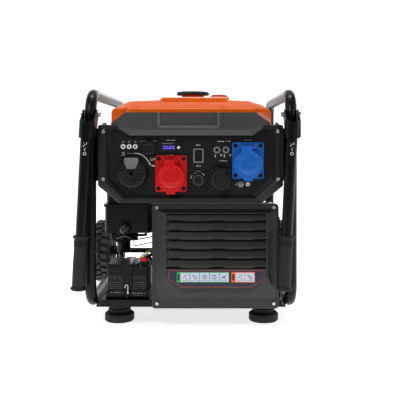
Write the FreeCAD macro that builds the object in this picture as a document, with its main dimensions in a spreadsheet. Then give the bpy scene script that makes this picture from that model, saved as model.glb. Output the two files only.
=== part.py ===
import FreeCAD, Part
import math
import os
import Sketcher

# Open-frame inverter generator: two tube hoops joined by cross rails carry a tank, a control panel,
# a finned engine with its alternator behind a louvred cover, a battery, two wheels and two
# fold-down handles. Millimetres. X runs along the panel, Y from the panel to the back, Z up;
# the origin is on the floor under the middle of the machine.

Vector = FreeCAD.Vector
doc = FreeCAD.newDocument("inverter_generator")

# ---------------------------------------------------------------------------------------- sizes

SIZES = [
    ("tube_od", 28, "frame tube outside diameter"),
    ("tube_wall", 2, "frame tube wall"),
    ("bend_radius", 55, "bend radius of the hoops on the tube axis"),
    ("hoop_x", 243, "hoop plane from the middle"),
    ("hoop_half_depth", 292, "hoop uprights from the middle"),
    ("hoop_low", 58, "height of the hoop's lower tube axis"),
    ("hoop_high", 568, "height of the hoop's upper tube axis"),
    ("rail_depth", 44, "foot rail along Y"),
    ("rail_height", 5, "foot rail height"),
    ("rail_y", 218, "foot rails from the middle"),
    ("stringer_z", 438, "underside of the side stringers"),
    ("stringer_size", 16, "side stringer section"),
    ("plate_low", 49, "underside of the base plate"),
    ("plate_thick", 4, "base plate"),
    ("lip_height", 13, "front and rear lips of the base plate"),
    ("plate_half", 284, "base plate from the middle along Y"),
    ("sheet_thick", 2, "pressed steel sheet"),
    ("fit_gap", 0.3, "gap between covers that meet"),
    ("run_gap", 0.08, "radial gap of a turning fit"),
    ("foot_radius", 37, "rubber foot"),
    ("foot_height", 22, "rubber foot disc"),
    ("foot_neck", 25, "rubber foot neck radius"),
    ("foot_x", 182, "feet from the middle"),
    ("wheel_radius", 97.5, "tyre outside radius"),
    ("wheel_width", 50, "tyre width"),
    ("wheel_x", 291, "wheel middle plane"),
    ("wheel_y", 254.5, "wheel axle from the middle"),
    ("rim_radius", 60, "tyre bead seat"),
    ("axle_radius", 8, "axle rod"),
    ("handle_od", 27, "handle tube outside diameter"),
    ("handle_gap", 40.5, "handle tube axis in front of the upright's axis"),
    ("handle_pivot_z", 519, "handle pivot height"),
    ("handle_lean", 0.052, "sideways slope of the parked handles, which hang with some play"),
    ("pivot_bolt_radius", 4, "handle pivot bolt"),
    ("fork_wall", 3, "handle fork sheet"),
    ("grip_radius", 16, "rubber grip"),
    ("grip_length", 130, "rubber grip"),
    ("grip_low", 100, "lower end of the parked grip"),
    ("panel_y", -300, "front face of the control panel"),
    ("panel_half", 194, "half width of the control panel opening"),
    ("panel_low", 323, "lower edge of the control panel opening"),
    ("panel_high", 479, "upper edge of the control panel"),
    ("panel_chamfer", 42, "corner chamfer of the panel"),
    ("bezel_half", 222, "half width of the bezel"),
    ("bezel_low", 304, "lower edge of the bezel"),
    ("bezel_high", 492, "upper edge of the bezel"),
    ("bezel_chamfer_x", 51, "bezel corner chamfer along X"),
    ("bezel_chamfer_z", 42, "bezel corner chamfer along Z"),
    ("bezel_proud", 12, "bezel in front of the panel face"),
    ("bezel_depth", 26, "bezel along Y"),
    ("bezel_bolt_x", 209, "bezel bolts from the middle"),
    ("inverter_front", -250, "inverter module front"),
    ("inverter_back", -60, "inverter module back"),
    ("tank_half", 200, "half width of the tank"),
    ("tank_front", -284, "tank front face"),
    ("tank_back", 150, "tank rear face"),
    ("tank_low", 462, "tank underside"),
    ("tank_side_high", 531, "top of the tank's upright sides"),
    ("tank_high", 557, "tank top"),
    ("tank_shoulder", 48, "width of the tank's sloped shoulder"),
    ("tank_corner", 45, "corner chamfer of the tank in plan"),
    ("tank_wall", 2.5, "tank wall"),
    ("filler_y", -62, "filler neck along Y"),
    ("filler_radius", 30, "filler neck outside"),
    ("cap_radius", 45, "fuel cap"),
    ("cap_high", 588, "top of the fuel cap"),
    ("cap_height", 11, "fuel cap rim"),
    ("shroud_proud", 20, "tank shroud in front of the panel face"),
    ("shroud_half", 193, "half width of the shroud at its tips"),
    ("shroud_low", 466, "lower edge of the shroud"),
    ("shroud_high", 522, "upper edge of the shroud"),
    ("shroud_wall", 4, "shroud moulding wall"),
    ("cover_left", -93, "left edge of the louvred cover"),
    ("cover_right", 212, "right edge of the louvred cover"),
    ("cover_low", 50, "lower edge of the louvred cover"),
    ("cover_high", 302, "upper edge of the louvred cover"),
    ("cover_y", -305, "front of the cover's flange"),
    ("cover_wall", 3, "cover moulding wall"),
    ("cover_screw_inset", 12, "cover screws from the cover's edges"),
    ("post_radius", 5, "posts that hold the cover"),
    ("cover_rise", 16, "raised middle of the cover"),
    ("louvre_pitch", 22.4, "louvre spacing"),
    ("louvre_slot", 8, "louvre slot height"),
    ("louvre_top", 252, "upper edge of the first louvre slot"),
    ("battery_left", -206, "battery left side"),
    ("battery_width", 100, "battery along X"),
    ("battery_length", 90, "battery along Y"),
    ("battery_height", 94, "battery body"),
    ("battery_front", -262, "battery front face"),
    ("strap_width", 23, "battery strap"),
    ("airbox_left", -218, "air filter box left side"),
    ("airbox_width", 118, "air filter box along X"),
    ("airbox_front", -235, "air filter box front"),
    ("airbox_depth", 150, "air filter box along Y"),
    ("airbox_low", 222, "air filter box underside"),
    ("airbox_height", 100, "air filter box"),
    ("engine_x", 62, "crankshaft axis"),
    ("engine_z", 178, "crankshaft axis"),
    ("engine_front", -195, "crankcase front face"),
    ("engine_back", 20, "crankcase rear face"),
    ("crank_radius", 12.5, "crankshaft"),
    ("stator_radius", 66, "alternator stator outside"),
    ("rotor_radius", 78, "alternator rotor bell outside"),
    ("alternator_y", -205, "front of the plate that carries the alternator"),
    ("dial_x", -141, "control dial"),
    ("dial_z", 376, "control dial"),
    ("dial_radius", 37, "control dial"),
    ("dial_depth", 26, "control dial"),
    ("cee_half_width", 38, "flange of the big sockets"),
    ("cee_half_height", 44, "flange of the big sockets"),
    ("cee_drop", 8.5, "socket axis under the flange's middle"),
    ("cee_collar", 31, "socket collar radius"),
    ("cee_bore", 27, "socket bore radius"),
    ("cee_reach", 18, "collar in front of the panel"),
    ("red_x", -47, "five-pole socket"),
    ("red_z", 374.5, "five-pole socket flange middle"),
    ("blue_x", 138, "three-pole socket"),
    ("blue_z", 406, "three-pole socket flange middle"),
    ("lid_thick", 5, "socket lid"),
    ("hinge_pin_radius", 1.5, "lid hinge pins"),
    ("home_x", 72.5, "household socket"),
    ("home_z", 363, "household socket"),
    ("home_half", 25, "household socket flange"),
    ("home_bore", 19.5, "household socket bore radius"),
    ("usb_x", -100, "charging socket"),
    ("usb_z", 436, "charging socket"),
    ("usb_half", 14.5, "charging socket"),
    ("display_x", -47.6, "display"),
    ("display_z", 437.5, "display"),
    ("display_half_width", 28, "display"),
    ("display_half_height", 13, "display"),
    ("button_radius", 3.6, "display button and breaker buttons"),
    ("lamp_z", 439.7, "indicator lamps"),
    ("lamp_x", -148.2, "middle indicator lamp"),
    ("lamp_pitch", 14.6, "indicator lamps"),
    ("lamp_radius", 6, "indicator lamps"),
    ("rocker_x", 18.8, "mode rocker"),
    ("rocker_z", 417.8, "mode rocker"),
    ("rocker_half_width", 12.8, "mode rocker frame"),
    ("rocker_half_height", 17.7, "mode rocker frame"),
    ("transfer_x", 18.4, "transfer switch socket"),
    ("transfer_z", 359, "transfer switch socket"),
    ("transfer_radius", 16, "transfer switch socket"),
    ("breaker_x", 74, "middle between the two breakers"),
    ("breaker_pitch", 21.6, "breakers"),
    ("breaker_z", 431.5, "breakers"),
    ("breaker_radius", 7.5, "breaker nuts"),
    ("ground_x", 121, "earth terminal"),
    ("ground_z", 349, "earth terminal"),
    ("screw_radius", 3.6, "black panel screws"),
    ("bolt_radius", 4.6, "silver button-head bolts"),
]

dims = doc.addObject("Spreadsheet::Sheet", "dims")
for row, (alias, value, note) in enumerate(SIZES, start=1):
    dims.set(f"A{row}", str(value))
    dims.setAlias(f"A{row}", alias)
    dims.set(f"B{row}", note)
doc.recompute()


class Size:
    """A length with its value and the spreadsheet expression that gives it."""

    def __init__(self, value, text):
        self.value, self.text = float(value), text

    def joined(self, other, sign, swap=False):
        a, b = (sized(other), self) if swap else (self, sized(other))
        results = {"+": a.value + b.value, "-": a.value - b.value, "*": a.value * b.value}
        value = a.value / b.value if sign == "/" else results[sign]
        return Size(value, f"({a.text} {sign} {b.text})")

    def __add__(self, other):
        return self.joined(other, "+")

    def __radd__(self, other):
        return self.joined(other, "+", swap=True)

    def __sub__(self, other):
        return self.joined(other, "-")

    def __rsub__(self, other):
        return self.joined(other, "-", swap=True)

    def __mul__(self, other):
        return self.joined(other, "*")

    def __rmul__(self, other):
        return self.joined(other, "*", swap=True)

    def __truediv__(self, other):
        return self.joined(other, "/")

    def __neg__(self):
        return Size(-self.value, f"(0 - {self.text})")


def sized(number):
    """The number as a Size, so that every property can be bound in the same way."""
    return number if isinstance(number, Size) else Size(number, f"({float(number):.6f})")


class Table:
    """Reads the spreadsheet by alias: D.tube_od is a Size."""

    def __getattr__(self, alias):
        return Size(dims.get(alias), f"dims.{alias}")


D = Table()

# ------------------------------------------------------------------------------- building blocks

SIDE = {"XY": "XY_Plane", "XZ": "XZ_Plane", "YZ": "YZ_Plane"}
TURN = {
    "x": FreeCAD.Rotation(Vector(0, 1, 0), 90),
    "y": FreeCAD.Rotation(Vector(1, 0, 0), -90),
    "z": FreeCAD.Rotation(),
}


def bind(thing, prop, size):
    thing.setExpression(prop, sized(size).text)


def put(thing, at):
    """Binds the object's position."""
    for letter, size in zip("xyz", at):
        bind(thing, f"Placement.Base.{letter}", size)
    return thing


def box(x, y, z):
    """A block between the pairs x, y and z."""
    made = doc.addObject("Part::Box", "block")
    put(made, (x[0], y[0], z[0]))
    for prop, (low, high) in zip(("Length", "Width", "Height"), (x, y, z)):
        bind(made, prop, high - low)
    return made


def rod(axis, at, radius, length):
    """A cylinder from `at` along +x, +y or +z."""
    made = doc.addObject("Part::Cylinder", "round")
    made.Placement = FreeCAD.Placement(Vector(), TURN[axis])
    put(made, at)
    bind(made, "Radius", radius)
    bind(made, "Height", length)
    return made


def taper(axis, at, radius, end_radius, length):
    """A cone frustum from `at` along an axis."""
    made = doc.addObject("Part::Cone", "taper")
    made.Placement = FreeCAD.Placement(Vector(), TURN[axis])
    put(made, at)
    bind(made, "Radius1", radius)
    bind(made, "Radius2", end_radius)
    bind(made, "Height", length)
    return made


def fuse(*parts):
    made = doc.addObject("Part::MultiFuse", "joined")
    made.Shapes = list(parts)
    return made


def cut(base, *tools):
    made = doc.addObject("Part::Cut", "trimmed")
    made.Base = base
    made.Tool = tools[0] if len(tools) == 1 else fuse(*tools)
    return made


def common(*parts):
    made = doc.addObject("Part::MultiCommon", "shared")
    made.Shapes = list(parts)
    return made


def group(*parts):
    """Separate solids that share one node."""
    made = doc.addObject("Part::Compound", "group")
    made.Links = list(parts)
    return made


def draw(body, plane, offset, outlines=(), circles=()):
    """A constrained sketch in the body: closed outlines of (u, v) corners and circles of (u, v, r)."""
    sketch = body.newObject("Sketcher::SketchObject", "outline")
    origin_plane = [f for f in body.Origin.OriginFeatures if f.Role == SIDE[plane]][0]
    sketch.AttachmentSupport = [(origin_plane, "")]
    sketch.MapMode = "FlatFace"
    for letter, size in zip("xyz", offset):
        bind(sketch, f"AttachmentOffset.Base.{letter}", size)

    def fixed(geometry, point, u, v):
        for kind, size in (("DistanceX", sized(u)), ("DistanceY", sized(v))):
            rule = Sketcher.Constraint(kind, -1, 1, geometry, point, size.value)
            sketch.setExpression(f"Constraints[{sketch.addConstraint(rule)}]", size.text)

    for corners in outlines:
        points = [Vector(sized(u).value, sized(v).value, 0) for u, v in corners]
        count = len(points)
        first = sketch.GeometryCount
        for i in range(count):
            sketch.addGeometry(Part.LineSegment(points[i], points[(i + 1) % count]), False)
        for i in range(count):
            after = first + (i + 1) % count
            sketch.addConstraint(Sketcher.Constraint("Coincident", first + i, 2, after, 1))
        for i, (u, v) in enumerate(corners):
            fixed(first + i, 1, u, v)
    for u, v, r in circles:
        centre = Vector(sized(u).value, sized(v).value, 0)
        ring = sketch.addGeometry(Part.Circle(centre, Vector(0, 0, 1), sized(r).value), False)
        fixed(ring, 3, u, v)
        rule = sketch.addConstraint(Sketcher.Constraint("Radius", ring, sized(r).value))
        sketch.setExpression(f"Constraints[{rule}]", sized(r).text)
    return sketch


def prism(plane, outlines, low, high, circles=(), body=None):
    """Pads outlines drawn across an axis, from low to high along it."""
    body = body or doc.addObject("PartDesign::Body", "moulding")
    start = -high if plane == "XZ" else low
    sketch = draw(body, plane, (0, 0, start), outlines, circles)
    pad = body.newObject("PartDesign::Pad", "pad")
    pad.Profile = sketch
    bind(pad, "Length", high - low)
    body.Tip = pad
    return body


def pocket(body, plane, outlines, low, high, circles=()):
    """Cuts outlines out of the body, from low to high along the axis across the plane."""
    start = -low if plane == "XZ" else high
    sketch = draw(body, plane, (0, 0, start), outlines, circles)
    hollow = body.newObject("PartDesign::Pocket", "pocket")
    hollow.Profile = sketch
    bind(hollow, "Length", high - low)
    body.Tip = hollow
    return body


def turned(axis, centre, profile):
    """Revolves a profile of (along, radius) corners about an axis; centre gives the other two places."""
    body = doc.addObject("PartDesign::Body", "turning")
    if axis == "x":
        sketch = draw(body, "XY", (0, centre[0], centre[1]), [profile])
    elif axis == "y":
        sketch = draw(body, "YZ", (0, centre[1], centre[0]), [profile])
    else:
        upright = [(radius, along) for along, radius in profile]
        sketch = draw(body, "XZ", (centre[0], 0, -sized(centre[1])), [upright])
    spin = body.newObject("PartDesign::Revolution", "spin")
    spin.Profile = sketch
    spin.ReferenceAxis = (sketch, ["V_Axis" if axis == "z" else "H_Axis"])
    spin.Angle = 360
    body.Tip = spin
    return body


def rounded(thing, radius, wanted):
    """Fillets the edges of a finished object for which wanted(edge) is true."""
    doc.recompute()
    made = doc.addObject("Part::Fillet", "rounded")
    made.Base = thing
    edges = enumerate(thing.Shape.Edges, start=1)
    made.Edges = [(i, radius, radius) for i, edge in edges if wanted(edge)]
    return made


def along(edge, axis):
    """True for a straight edge that runs along the axis 0, 1 or 2."""
    if len(edge.Vertexes) != 2 or edge.Curve.TypeId != "Part::GeomLine":
        return False
    run = edge.Vertexes[1].Point - edge.Vertexes[0].Point
    return abs(abs(run[axis]) - run.Length) < 1e-6


def rect(u, v):
    """Corners of a rectangle between the pairs u and v."""
    return [(u[0], v[0]), (u[1], v[0]), (u[1], v[1]), (u[0], v[1])]


def around(middle, half):
    """The pair that lies half on each side of the middle."""
    return (middle - half, middle + half)


def bent_wire(points, bends):
    """Straight runs joined by tangent arcs, through points of plain numbers."""
    edges, here = [], Vector(*points[0])
    for before, corner, after, bend in zip(points, points[1:], points[2:], bends):
        corner = Vector(*corner)
        back = (Vector(*before) - corner).normalize()
        onward = (Vector(*after) - corner).normalize()
        half_turn = back.getAngle(onward) / 2
        trim = bend / math.tan(half_turn)
        middle_way = (back + onward).normalize()
        reach = (trim ** 2 + bend ** 2) ** 0.5
        start, end = corner + back * trim, corner + onward * trim
        edges.append(Part.LineSegment(here, start).toShape())
        edges.append(Part.Arc(start, corner + middle_way * (reach - bend), end).toShape())
        here = end
    edges.append(Part.LineSegment(here, Vector(*points[-1])).toShape())
    return Part.Wire(edges)


def bent_rod(points, bends, radius):
    """A round bar or cable bent along points, as a plain shape."""
    path = bent_wire(points, bends)
    start = Vector(*points[0])
    direction = (Vector(*points[1]) - start).normalize()
    section = Part.Wire([Part.Circle(start, direction, radius).toShape()])
    made = doc.addObject("Part::Feature", "bent")
    made.Shape = path.makePipeShell([section], True, False)
    return made


nodes = {}


def node(name, thing):
    """Names a finished sub-part."""
    thing.Label = name
    nodes[name] = thing
    return thing


# ----------------------------------------------------------------------------------- the frame

HALF_TUBE = D.tube_od / 2
PLATE_TOP = D.plate_low + D.plate_thick
CORNERS = {  # the way each bend of a hoop opens, as the directions of its two ends
    (1, 1): (Vector(0, 1, 0), Vector(0, 0, 1)),
    (-1, 1): (Vector(0, 0, 1), Vector(0, -1, 0)),
    (-1, -1): (Vector(0, -1, 0), Vector(0, 0, -1)),
    (1, -1): (Vector(0, 0, -1), Vector(0, 1, 0)),
}


def bend(x, y, z, first, second):
    """A quarter of a torus about X, from the direction first to the direction second."""
    made = doc.addObject("Part::Torus", "bend")
    made.Placement = FreeCAD.Placement(Vector(), FreeCAD.Rotation(first, second, Vector(1, 0, 0), "XYZ"))
    put(made, (x, y, z))
    bind(made, "Radius1", D.bend_radius)
    bind(made, "Radius2", HALF_TUBE)
    made.Angle3 = 90
    return made


def hoop(side):
    """A closed hoop of round tube with the hole for its handle's pivot bolt."""
    x, r = D.hoop_x * side, D.bend_radius
    span = D.hoop_half_depth * 2 - r * 2
    rise = D.hoop_high - D.hoop_low - r * 2
    pieces = [rod("y", (x, -D.hoop_half_depth + r, z), HALF_TUBE, span) for z in (D.hoop_low, D.hoop_high)]
    for end in (-1, 1):
        pieces.append(rod("z", (x, D.hoop_half_depth * end, D.hoop_low + r), HALF_TUBE, rise))
    for (end, top), (first, second) in CORNERS.items():
        z = D.hoop_high - r if top > 0 else D.hoop_low + r
        pieces.append(bend(x, (D.hoop_half_depth - r) * end, z, first, second))
    hole = rod("x", (x - D.tube_od, -D.hoop_half_depth, D.handle_pivot_z), D.pivot_bolt_radius, D.tube_od * 2)
    return cut(fuse(*pieces), hole)


def lower_tubes():
    """The straight lower tubes of both hoops, run on past their bends, for trimming what meets them."""
    start = -D.plate_half - D.tube_od
    return [rod("y", (D.hoop_x * s, start, D.hoop_low), HALF_TUBE, -start * 2) for s in (-1, 1)]


def base_frame():
    """The base plate between the hoops, its lips and the two foot rails."""
    reach = D.hoop_x
    across, deep = around(0, reach), around(0, D.plate_half)
    pieces = [box(across, deep, (D.plate_low, PLATE_TOP))]
    for s in (-1, 1):
        edge = D.plate_half * s
        lip = (edge, edge + D.sheet_thick) if s < 0 else (edge - D.sheet_thick, edge)
        pieces.append(box(around(0, D.bezel_half), lip, (PLATE_TOP, PLATE_TOP + D.lip_height)))
        rail = around(D.rail_y * s, D.rail_depth / 2)
        pieces.append(box(across, rail, (D.plate_low - D.rail_height, D.plate_low)))
    notches = [rod("y", (x, -D.plate_half - 5, z), D.post_radius + D.fit_gap, 10) for x, z in COVER_SCREWS[:2]]
    return cut(fuse(*pieces), *lower_tubes(), *notches)


COVER_SCREWS = [
    (D.cover_left + D.cover_screw_inset, D.cover_low + D.cover_screw_inset),
    (D.cover_right - D.cover_screw_inset, D.cover_low + D.cover_screw_inset),
    (D.cover_left + D.cover_screw_inset, D.cover_high - D.cover_screw_inset + 3),
    (D.cover_right - D.cover_screw_inset, D.cover_high - D.cover_screw_inset + 3),
]
STRINGER_OUT = D.hoop_x - HALF_TUBE + 1.5
BEZEL_BACK = D.panel_y - D.bezel_proud + D.bezel_depth


def uprights():
    """The hoops' uprights, for trimming what meets them."""
    places = [(s, end) for s in (-1, 1) for end in (-1, 1)]
    length = D.hoop_high - D.hoop_low
    return [
        rod("z", (D.hoop_x * s, D.hoop_half_depth * end, D.hoop_low), HALF_TUBE, length) for s, end in places
    ]


def upper_frame():
    """Side stringers and a rear cross tube that carry the tank, and the plates that hold the bezel."""
    high = (D.stringer_z, D.stringer_z + D.stringer_size)
    reach = D.hoop_half_depth
    pieces = []
    for s in (-1, 1):
        inner = STRINGER_OUT - D.stringer_size
        side = (inner, STRINGER_OUT) if s > 0 else (-STRINGER_OUT, -inner)
        pieces.append(box(side, (BEZEL_BACK, reach), high))
    pieces.append(box(around(0, STRINGER_OUT), (reach - D.stringer_size, reach), high))
    for y in (D.inverter_front + 20, D.inverter_back - 20):
        pieces.append(box(around(0, STRINGER_OUT), around(y, D.stringer_size / 2), high))
    joined = fuse(*pieces)
    plates = []
    for s in (-1, 1):
        outer, inner = (D.hoop_x - HALF_TUBE + 3) * s, (D.panel_half + 2) * s
        side = (inner, outer) if s > 0 else (outer, inner)
        plate = box(side, (BEZEL_BACK, BEZEL_BACK + 3), (D.bezel_low + 52, D.bezel_high - 8))
        holes = [rod("y", (D.bezel_bolt_x * s, BEZEL_BACK - 1, z), 3, 6) for z in BEZEL_BOLT_Z]
        plates.append(cut(plate, *holes))
    return cut(fuse(joined, *plates), *uprights())


BEZEL_BOLT_Z = (D.bezel_high - 16, D.bezel_low + 58)


def foot(side):
    """A round rubber foot with a ribbed neck, bolted under the front rail."""
    rail_low = D.plate_low - D.rail_height
    neck, rib = D.foot_neck, D.foot_neck + 3
    h = D.foot_height
    profile = [
        (0, 0), (0, D.foot_radius - 3), (3, D.foot_radius), (h - 4, D.foot_radius), (h, D.foot_radius - 5),
        (h, neck), (h + 4, neck), (h + 6, rib), (h + 9, rib), (h + 11, neck), (rail_low, neck), (rail_low, 0),
    ]
    return turned("z", (D.foot_x * side, -D.rail_y), profile)


def wheel_places():
    return [(-1, "left"), (1, "right")]


AXLE_END = D.wheel_x + D.wheel_width / 2 + 4
BUSH_FACE = D.wheel_x - D.wheel_width / 2 - 1


def axle():
    """The through axle with a washer and a domed nut outside each wheel."""
    pieces = [rod("x", (-AXLE_END, D.wheel_y, D.wheel_radius), D.axle_radius, AXLE_END * 2)]
    for s in (-1, 1):
        face = D.wheel_x + D.wheel_width / 2 - 5
        start = face if s > 0 else -AXLE_END
        pieces.append(rod("x", (start, D.wheel_y, D.wheel_radius), D.axle_radius + 5, AXLE_END - face))
    return rounded(fuse(*pieces), 3, lambda e: abs(abs(e.CenterOfMass.x) - AXLE_END.value) < 0.01)


def axle_bracket(side):
    """A gusset welded into the hoop's rear lower bend, with the bush that holds the axle."""
    centre_y, centre_z = D.hoop_half_depth - D.bend_radius, D.hoop_low + D.bend_radius
    inner = D.bend_radius - HALF_TUBE
    x = D.hoop_x * side
    disc = rod("x", (x - 2.5, centre_y, centre_z), inner, 5)
    y0, z0 = centre_y - inner, centre_z - inner
    y1, z1 = centre_y + inner, centre_z + inner
    wedge = prism("YZ", [[(y0, z0), (y1, z0), (y1, z1 - 8), (y1 - 18, z1 - 8), (y0, z0 + 28)]], x - 3, x + 3)
    start = x - 12 if side > 0 else -BUSH_FACE
    bush = rod("x", (start, D.wheel_y, D.wheel_radius), D.axle_radius + 6, BUSH_FACE - (D.hoop_x - 12))
    hole = rod("x", (x - 30, D.wheel_y, D.wheel_radius), D.axle_radius, 60)
    return cut(fuse(common(disc, wedge), bush), hole)


def tyre(side):
    """A chunky tyre on its bead seats."""
    low, high = D.wheel_x * side - D.wheel_width / 2, D.wheel_x * side + D.wheel_width / 2
    r, seat = D.wheel_radius, D.rim_radius
    profile = [
        (low + 6, seat), (low, seat + 8), (low, r - 14), (low + 6, r - 3), (low + 13, r),
        (high - 13, r), (high - 6, r - 3), (high, r - 14), (high, seat + 8), (high - 6, seat),
    ]
    return turned("x", (D.wheel_y, D.wheel_radius), profile)


def rim(side):
    """A pressed rim with a hub bored to run on the axle, and six round windows."""
    low, high = D.wheel_x * side - D.wheel_width / 2, D.wheel_x * side + D.wheel_width / 2
    seat, hub, bore = D.rim_radius, D.axle_radius + 9, D.axle_radius + D.run_gap
    middle = D.wheel_x * side
    profile = [
        (low, bore), (low, hub), (middle - 2, hub), (middle - 2, seat - 6), (low + 3, seat - 6), (low + 3, seat + 2),
        (low + 6, seat), (high - 6, seat), (high - 3, seat + 2), (high - 3, seat - 6), (middle + 2, seat - 6),
        (middle + 2, hub), (high - 6, hub), (high - 6, bore),
    ]
    if side < 0:
        profile = [(middle * 2 - u, v) for u, v in profile]
    wheel = turned("x", (D.wheel_y, D.wheel_radius), profile)
    windows = []
    for i in range(6):
        turn = math.radians(60 * i + 30)
        reach = (D.rim_radius + hub) / 2 - 3
        at = (middle - 5, D.wheel_y + reach * math.cos(turn), D.wheel_radius + reach * math.sin(turn))
        windows.append(rod("x", at, 9, 10))
    return cut(wheel, *windows)


node("hoop_left", hoop(-1))
node("hoop_right", hoop(1))
node("base_frame", base_frame())
node("upper_frame", upper_frame())
node("front_feet", group(foot(-1), foot(1)))
node("axle", axle())
node("axle_brackets", group(axle_bracket(-1), axle_bracket(1)))
for side, name in wheel_places():
    node(f"tyre_{name}", tyre(side))
    node(f"rim_{name}", rim(side))

# --------------------------------------------------------------------------------- the handles

HANDLE_Y = -D.hoop_half_depth - D.handle_gap
EAR_GAP = 0.6
SLEEVE_RADIUS = D.handle_od / 2 + 4.6


def leaned(thing, side):
    """Tilts an upright piece of a handle sideways about its pivot."""
    tilt = FreeCAD.Rotation(Vector(0, 1, 0), math.degrees(math.atan(D.handle_lean.value)))
    pivot = Vector((D.hoop_x * side).value, HANDLE_Y.value, D.handle_pivot_z.value)
    thing.Placement = FreeCAD.Placement(Vector(), tilt, pivot)
    return thing


def handle(side):
    """A drop handle: two ears beside the upright, a sleeve welded to them and the tube it holds."""
    x, y, z = D.hoop_x * side, -D.hoop_half_depth, D.handle_pivot_z
    inside = HALF_TUBE + EAR_GAP
    front = HANDLE_Y - 6
    outline = [
        (y + 10, z - 7), (y + 10, z + 5), (y + 5, z + 10), (y - 7, z + 10),
        (front, z - 18), (front, z - 57), (HANDLE_Y + 12, z - 57), (y, z - 24),
    ]
    ears = [
        prism("YZ", [outline], x - inside - D.fork_wall, x - inside),
        prism("YZ", [outline], x + inside, x + inside + D.fork_wall),
    ]
    sleeve = rod("z", (x, HANDLE_Y, z - 59), SLEEVE_RADIUS, 43)
    hollow = rod("y", (x, HANDLE_Y - 30, z), 20, 60)
    bottom = D.grip_low + 4
    tube = rod("z", (x, HANDLE_Y, bottom), D.handle_od / 2, z - 40 - bottom)
    hole = rod("x", (x - 30, y, z), D.pivot_bolt_radius + D.run_gap, 60)
    bore = rod("z", (x, HANDLE_Y, bottom - 1), D.handle_od / 2 - D.tube_wall, z - 60 - bottom)
    stem = leaned(cut(fuse(cut(sleeve, hollow), tube), bore), side)
    return cut(fuse(*ears, stem), hole)


def grip(side):
    """A ribbed rubber grip with a collar at each end and a closed lower end."""
    low, high = D.grip_low, D.grip_low + D.grip_length
    r, tube = D.grip_radius, D.handle_od / 2
    profile = [
        (low, 0), (low, r + 2), (low + 2, r + 3.5), (low + 6, r + 3.5), (low + 8, r), (high - 8, r),
        (high - 6, r + 3.5), (high - 2, r + 3.5), (high, r + 2), (high, tube), (low + 4, tube), (low + 4, 0),
    ]
    return leaned(turned("z", (D.hoop_x * side, HANDLE_Y), profile), side)


def pivot_bolt(side):
    """The handle's pivot bolt, with a domed head outside and a nut inside."""
    x, y, z = D.hoop_x * side, -D.hoop_half_depth, D.handle_pivot_z
    reach = HALF_TUBE + EAR_GAP + D.fork_wall + 0.4
    shank = rod("x", (x - reach, y, z), D.pivot_bolt_radius, reach * 2)
    head = rod("x", (x + reach, y, z), 8, 5)
    nut = rod("x", (x - reach - 6, y, z), 7.5, 6)
    if side < 0:
        head = rod("x", (x - reach - 5, y, z), 8, 5)
        nut = rod("x", (x + reach, y, z), 7.5, 6)
    return fuse(shank, head, nut)


for side, name in wheel_places():
    node(f"handle_{name}", handle(side))
    node(f"grip_{name}", grip(side))
node("handle_pivots", group(pivot_bolt(-1), pivot_bolt(1)))

# ------------------------------------------------------------------------- the tank and shroud

FLANGE_OUT = 14


def tank_outline(inset):
    """The tank in plan: a rectangle with its four corners cut."""
    x, front, back = D.tank_half - inset, D.tank_front + inset, D.tank_back - inset
    c = D.tank_corner
    return [
        (-x + c, front), (x - c, front), (x, front + c), (x, back - c),
        (x - c, back), (-x + c, back), (-x, back - c), (-x, front + c),
    ]


def tank_shell(inset, low):
    """Upright sides under a sloped shoulder, all set in by inset."""
    body = prism("XY", [tank_outline(inset)], low, D.tank_side_high - inset)
    lower = draw(body, "XY", (0, 0, D.tank_side_high - inset), [tank_outline(inset)])
    upper = draw(body, "XY", (0, 0, D.tank_high - inset), [tank_outline(D.tank_shoulder + inset)])
    slope = body.newObject("PartDesign::AdditiveLoft", "shoulder")
    slope.Profile = lower
    slope.Sections = [upper]
    slope.Ruled = True
    body.Tip = slope
    return body


def fuel_tank():
    """A hollow pressed tank with a seam flange, rubber mounts on the stringers and a filler neck."""
    low = D.tank_low
    outside = tank_shell(0, low)
    inside = tank_shell(D.tank_wall, low + D.tank_wall)
    flange = prism("XY", [tank_outline(-FLANGE_OUT)], low, low + 3)
    front_trim = box(around(0, D.bezel_half), (D.tank_front - 40, D.tank_front), (low - 5, low + 8))
    neck = rod("z", (0, D.filler_y, D.tank_high - 6), D.filler_radius, D.cap_high - 5 - (D.tank_high - 6))
    throat = rod("z", (0, D.filler_y, D.tank_high - 12), D.filler_radius - 4, 60)
    mounts = []
    for s in (-1, 1):
        for y in (D.tank_front + 70, D.tank_back - 60):
            at = ((STRINGER_OUT - D.stringer_size / 2) * s, y, D.stringer_z + D.stringer_size)
            mounts.append(rod("z", at, 7, low - D.stringer_z - D.stringer_size))
    shell = cut(fuse(outside, cut(flange, front_trim), neck, *mounts), inside, throat)
    return shell


def fuel_cap():
    """A screw cap that turns on the filler neck."""
    top, r = D.cap_high, D.cap_radius
    low = top - D.cap_height
    neck = D.filler_radius + 0.3
    profile = [
        (low, neck), (low, r - 1), (low + 2, r), (top - 4, r), (top, r - 4), (top, 0), (top - 4, 0), (top - 4, neck),
    ]
    cap = turned("z", (0, D.filler_y), profile)
    notches = []
    for i in range(24):
        turn = math.radians(15 * i)
        at = ((r + 1.2) * math.cos(turn), D.filler_y + (r + 1.2) * math.sin(turn), low - 1)
        notches.append(rod("z", at, 2.6, D.cap_height - 3))
    return cut(cap, *notches)


def shroud_outline(inset):
    """The shroud from the front: a long hexagon with pointed ends."""
    tip, low, high = D.shroud_half, D.shroud_low + inset, D.shroud_high - inset
    middle = (D.shroud_low + D.shroud_high) / 2 + 2
    side = inset * 1.4
    return [
        (-148 + inset * 0.4, low), (148 - inset * 0.4, low), (tip - side, middle), (156 - inset * 0.4, high),
        (-156 + inset * 0.4, high), (-tip + side, middle),
    ]


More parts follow.
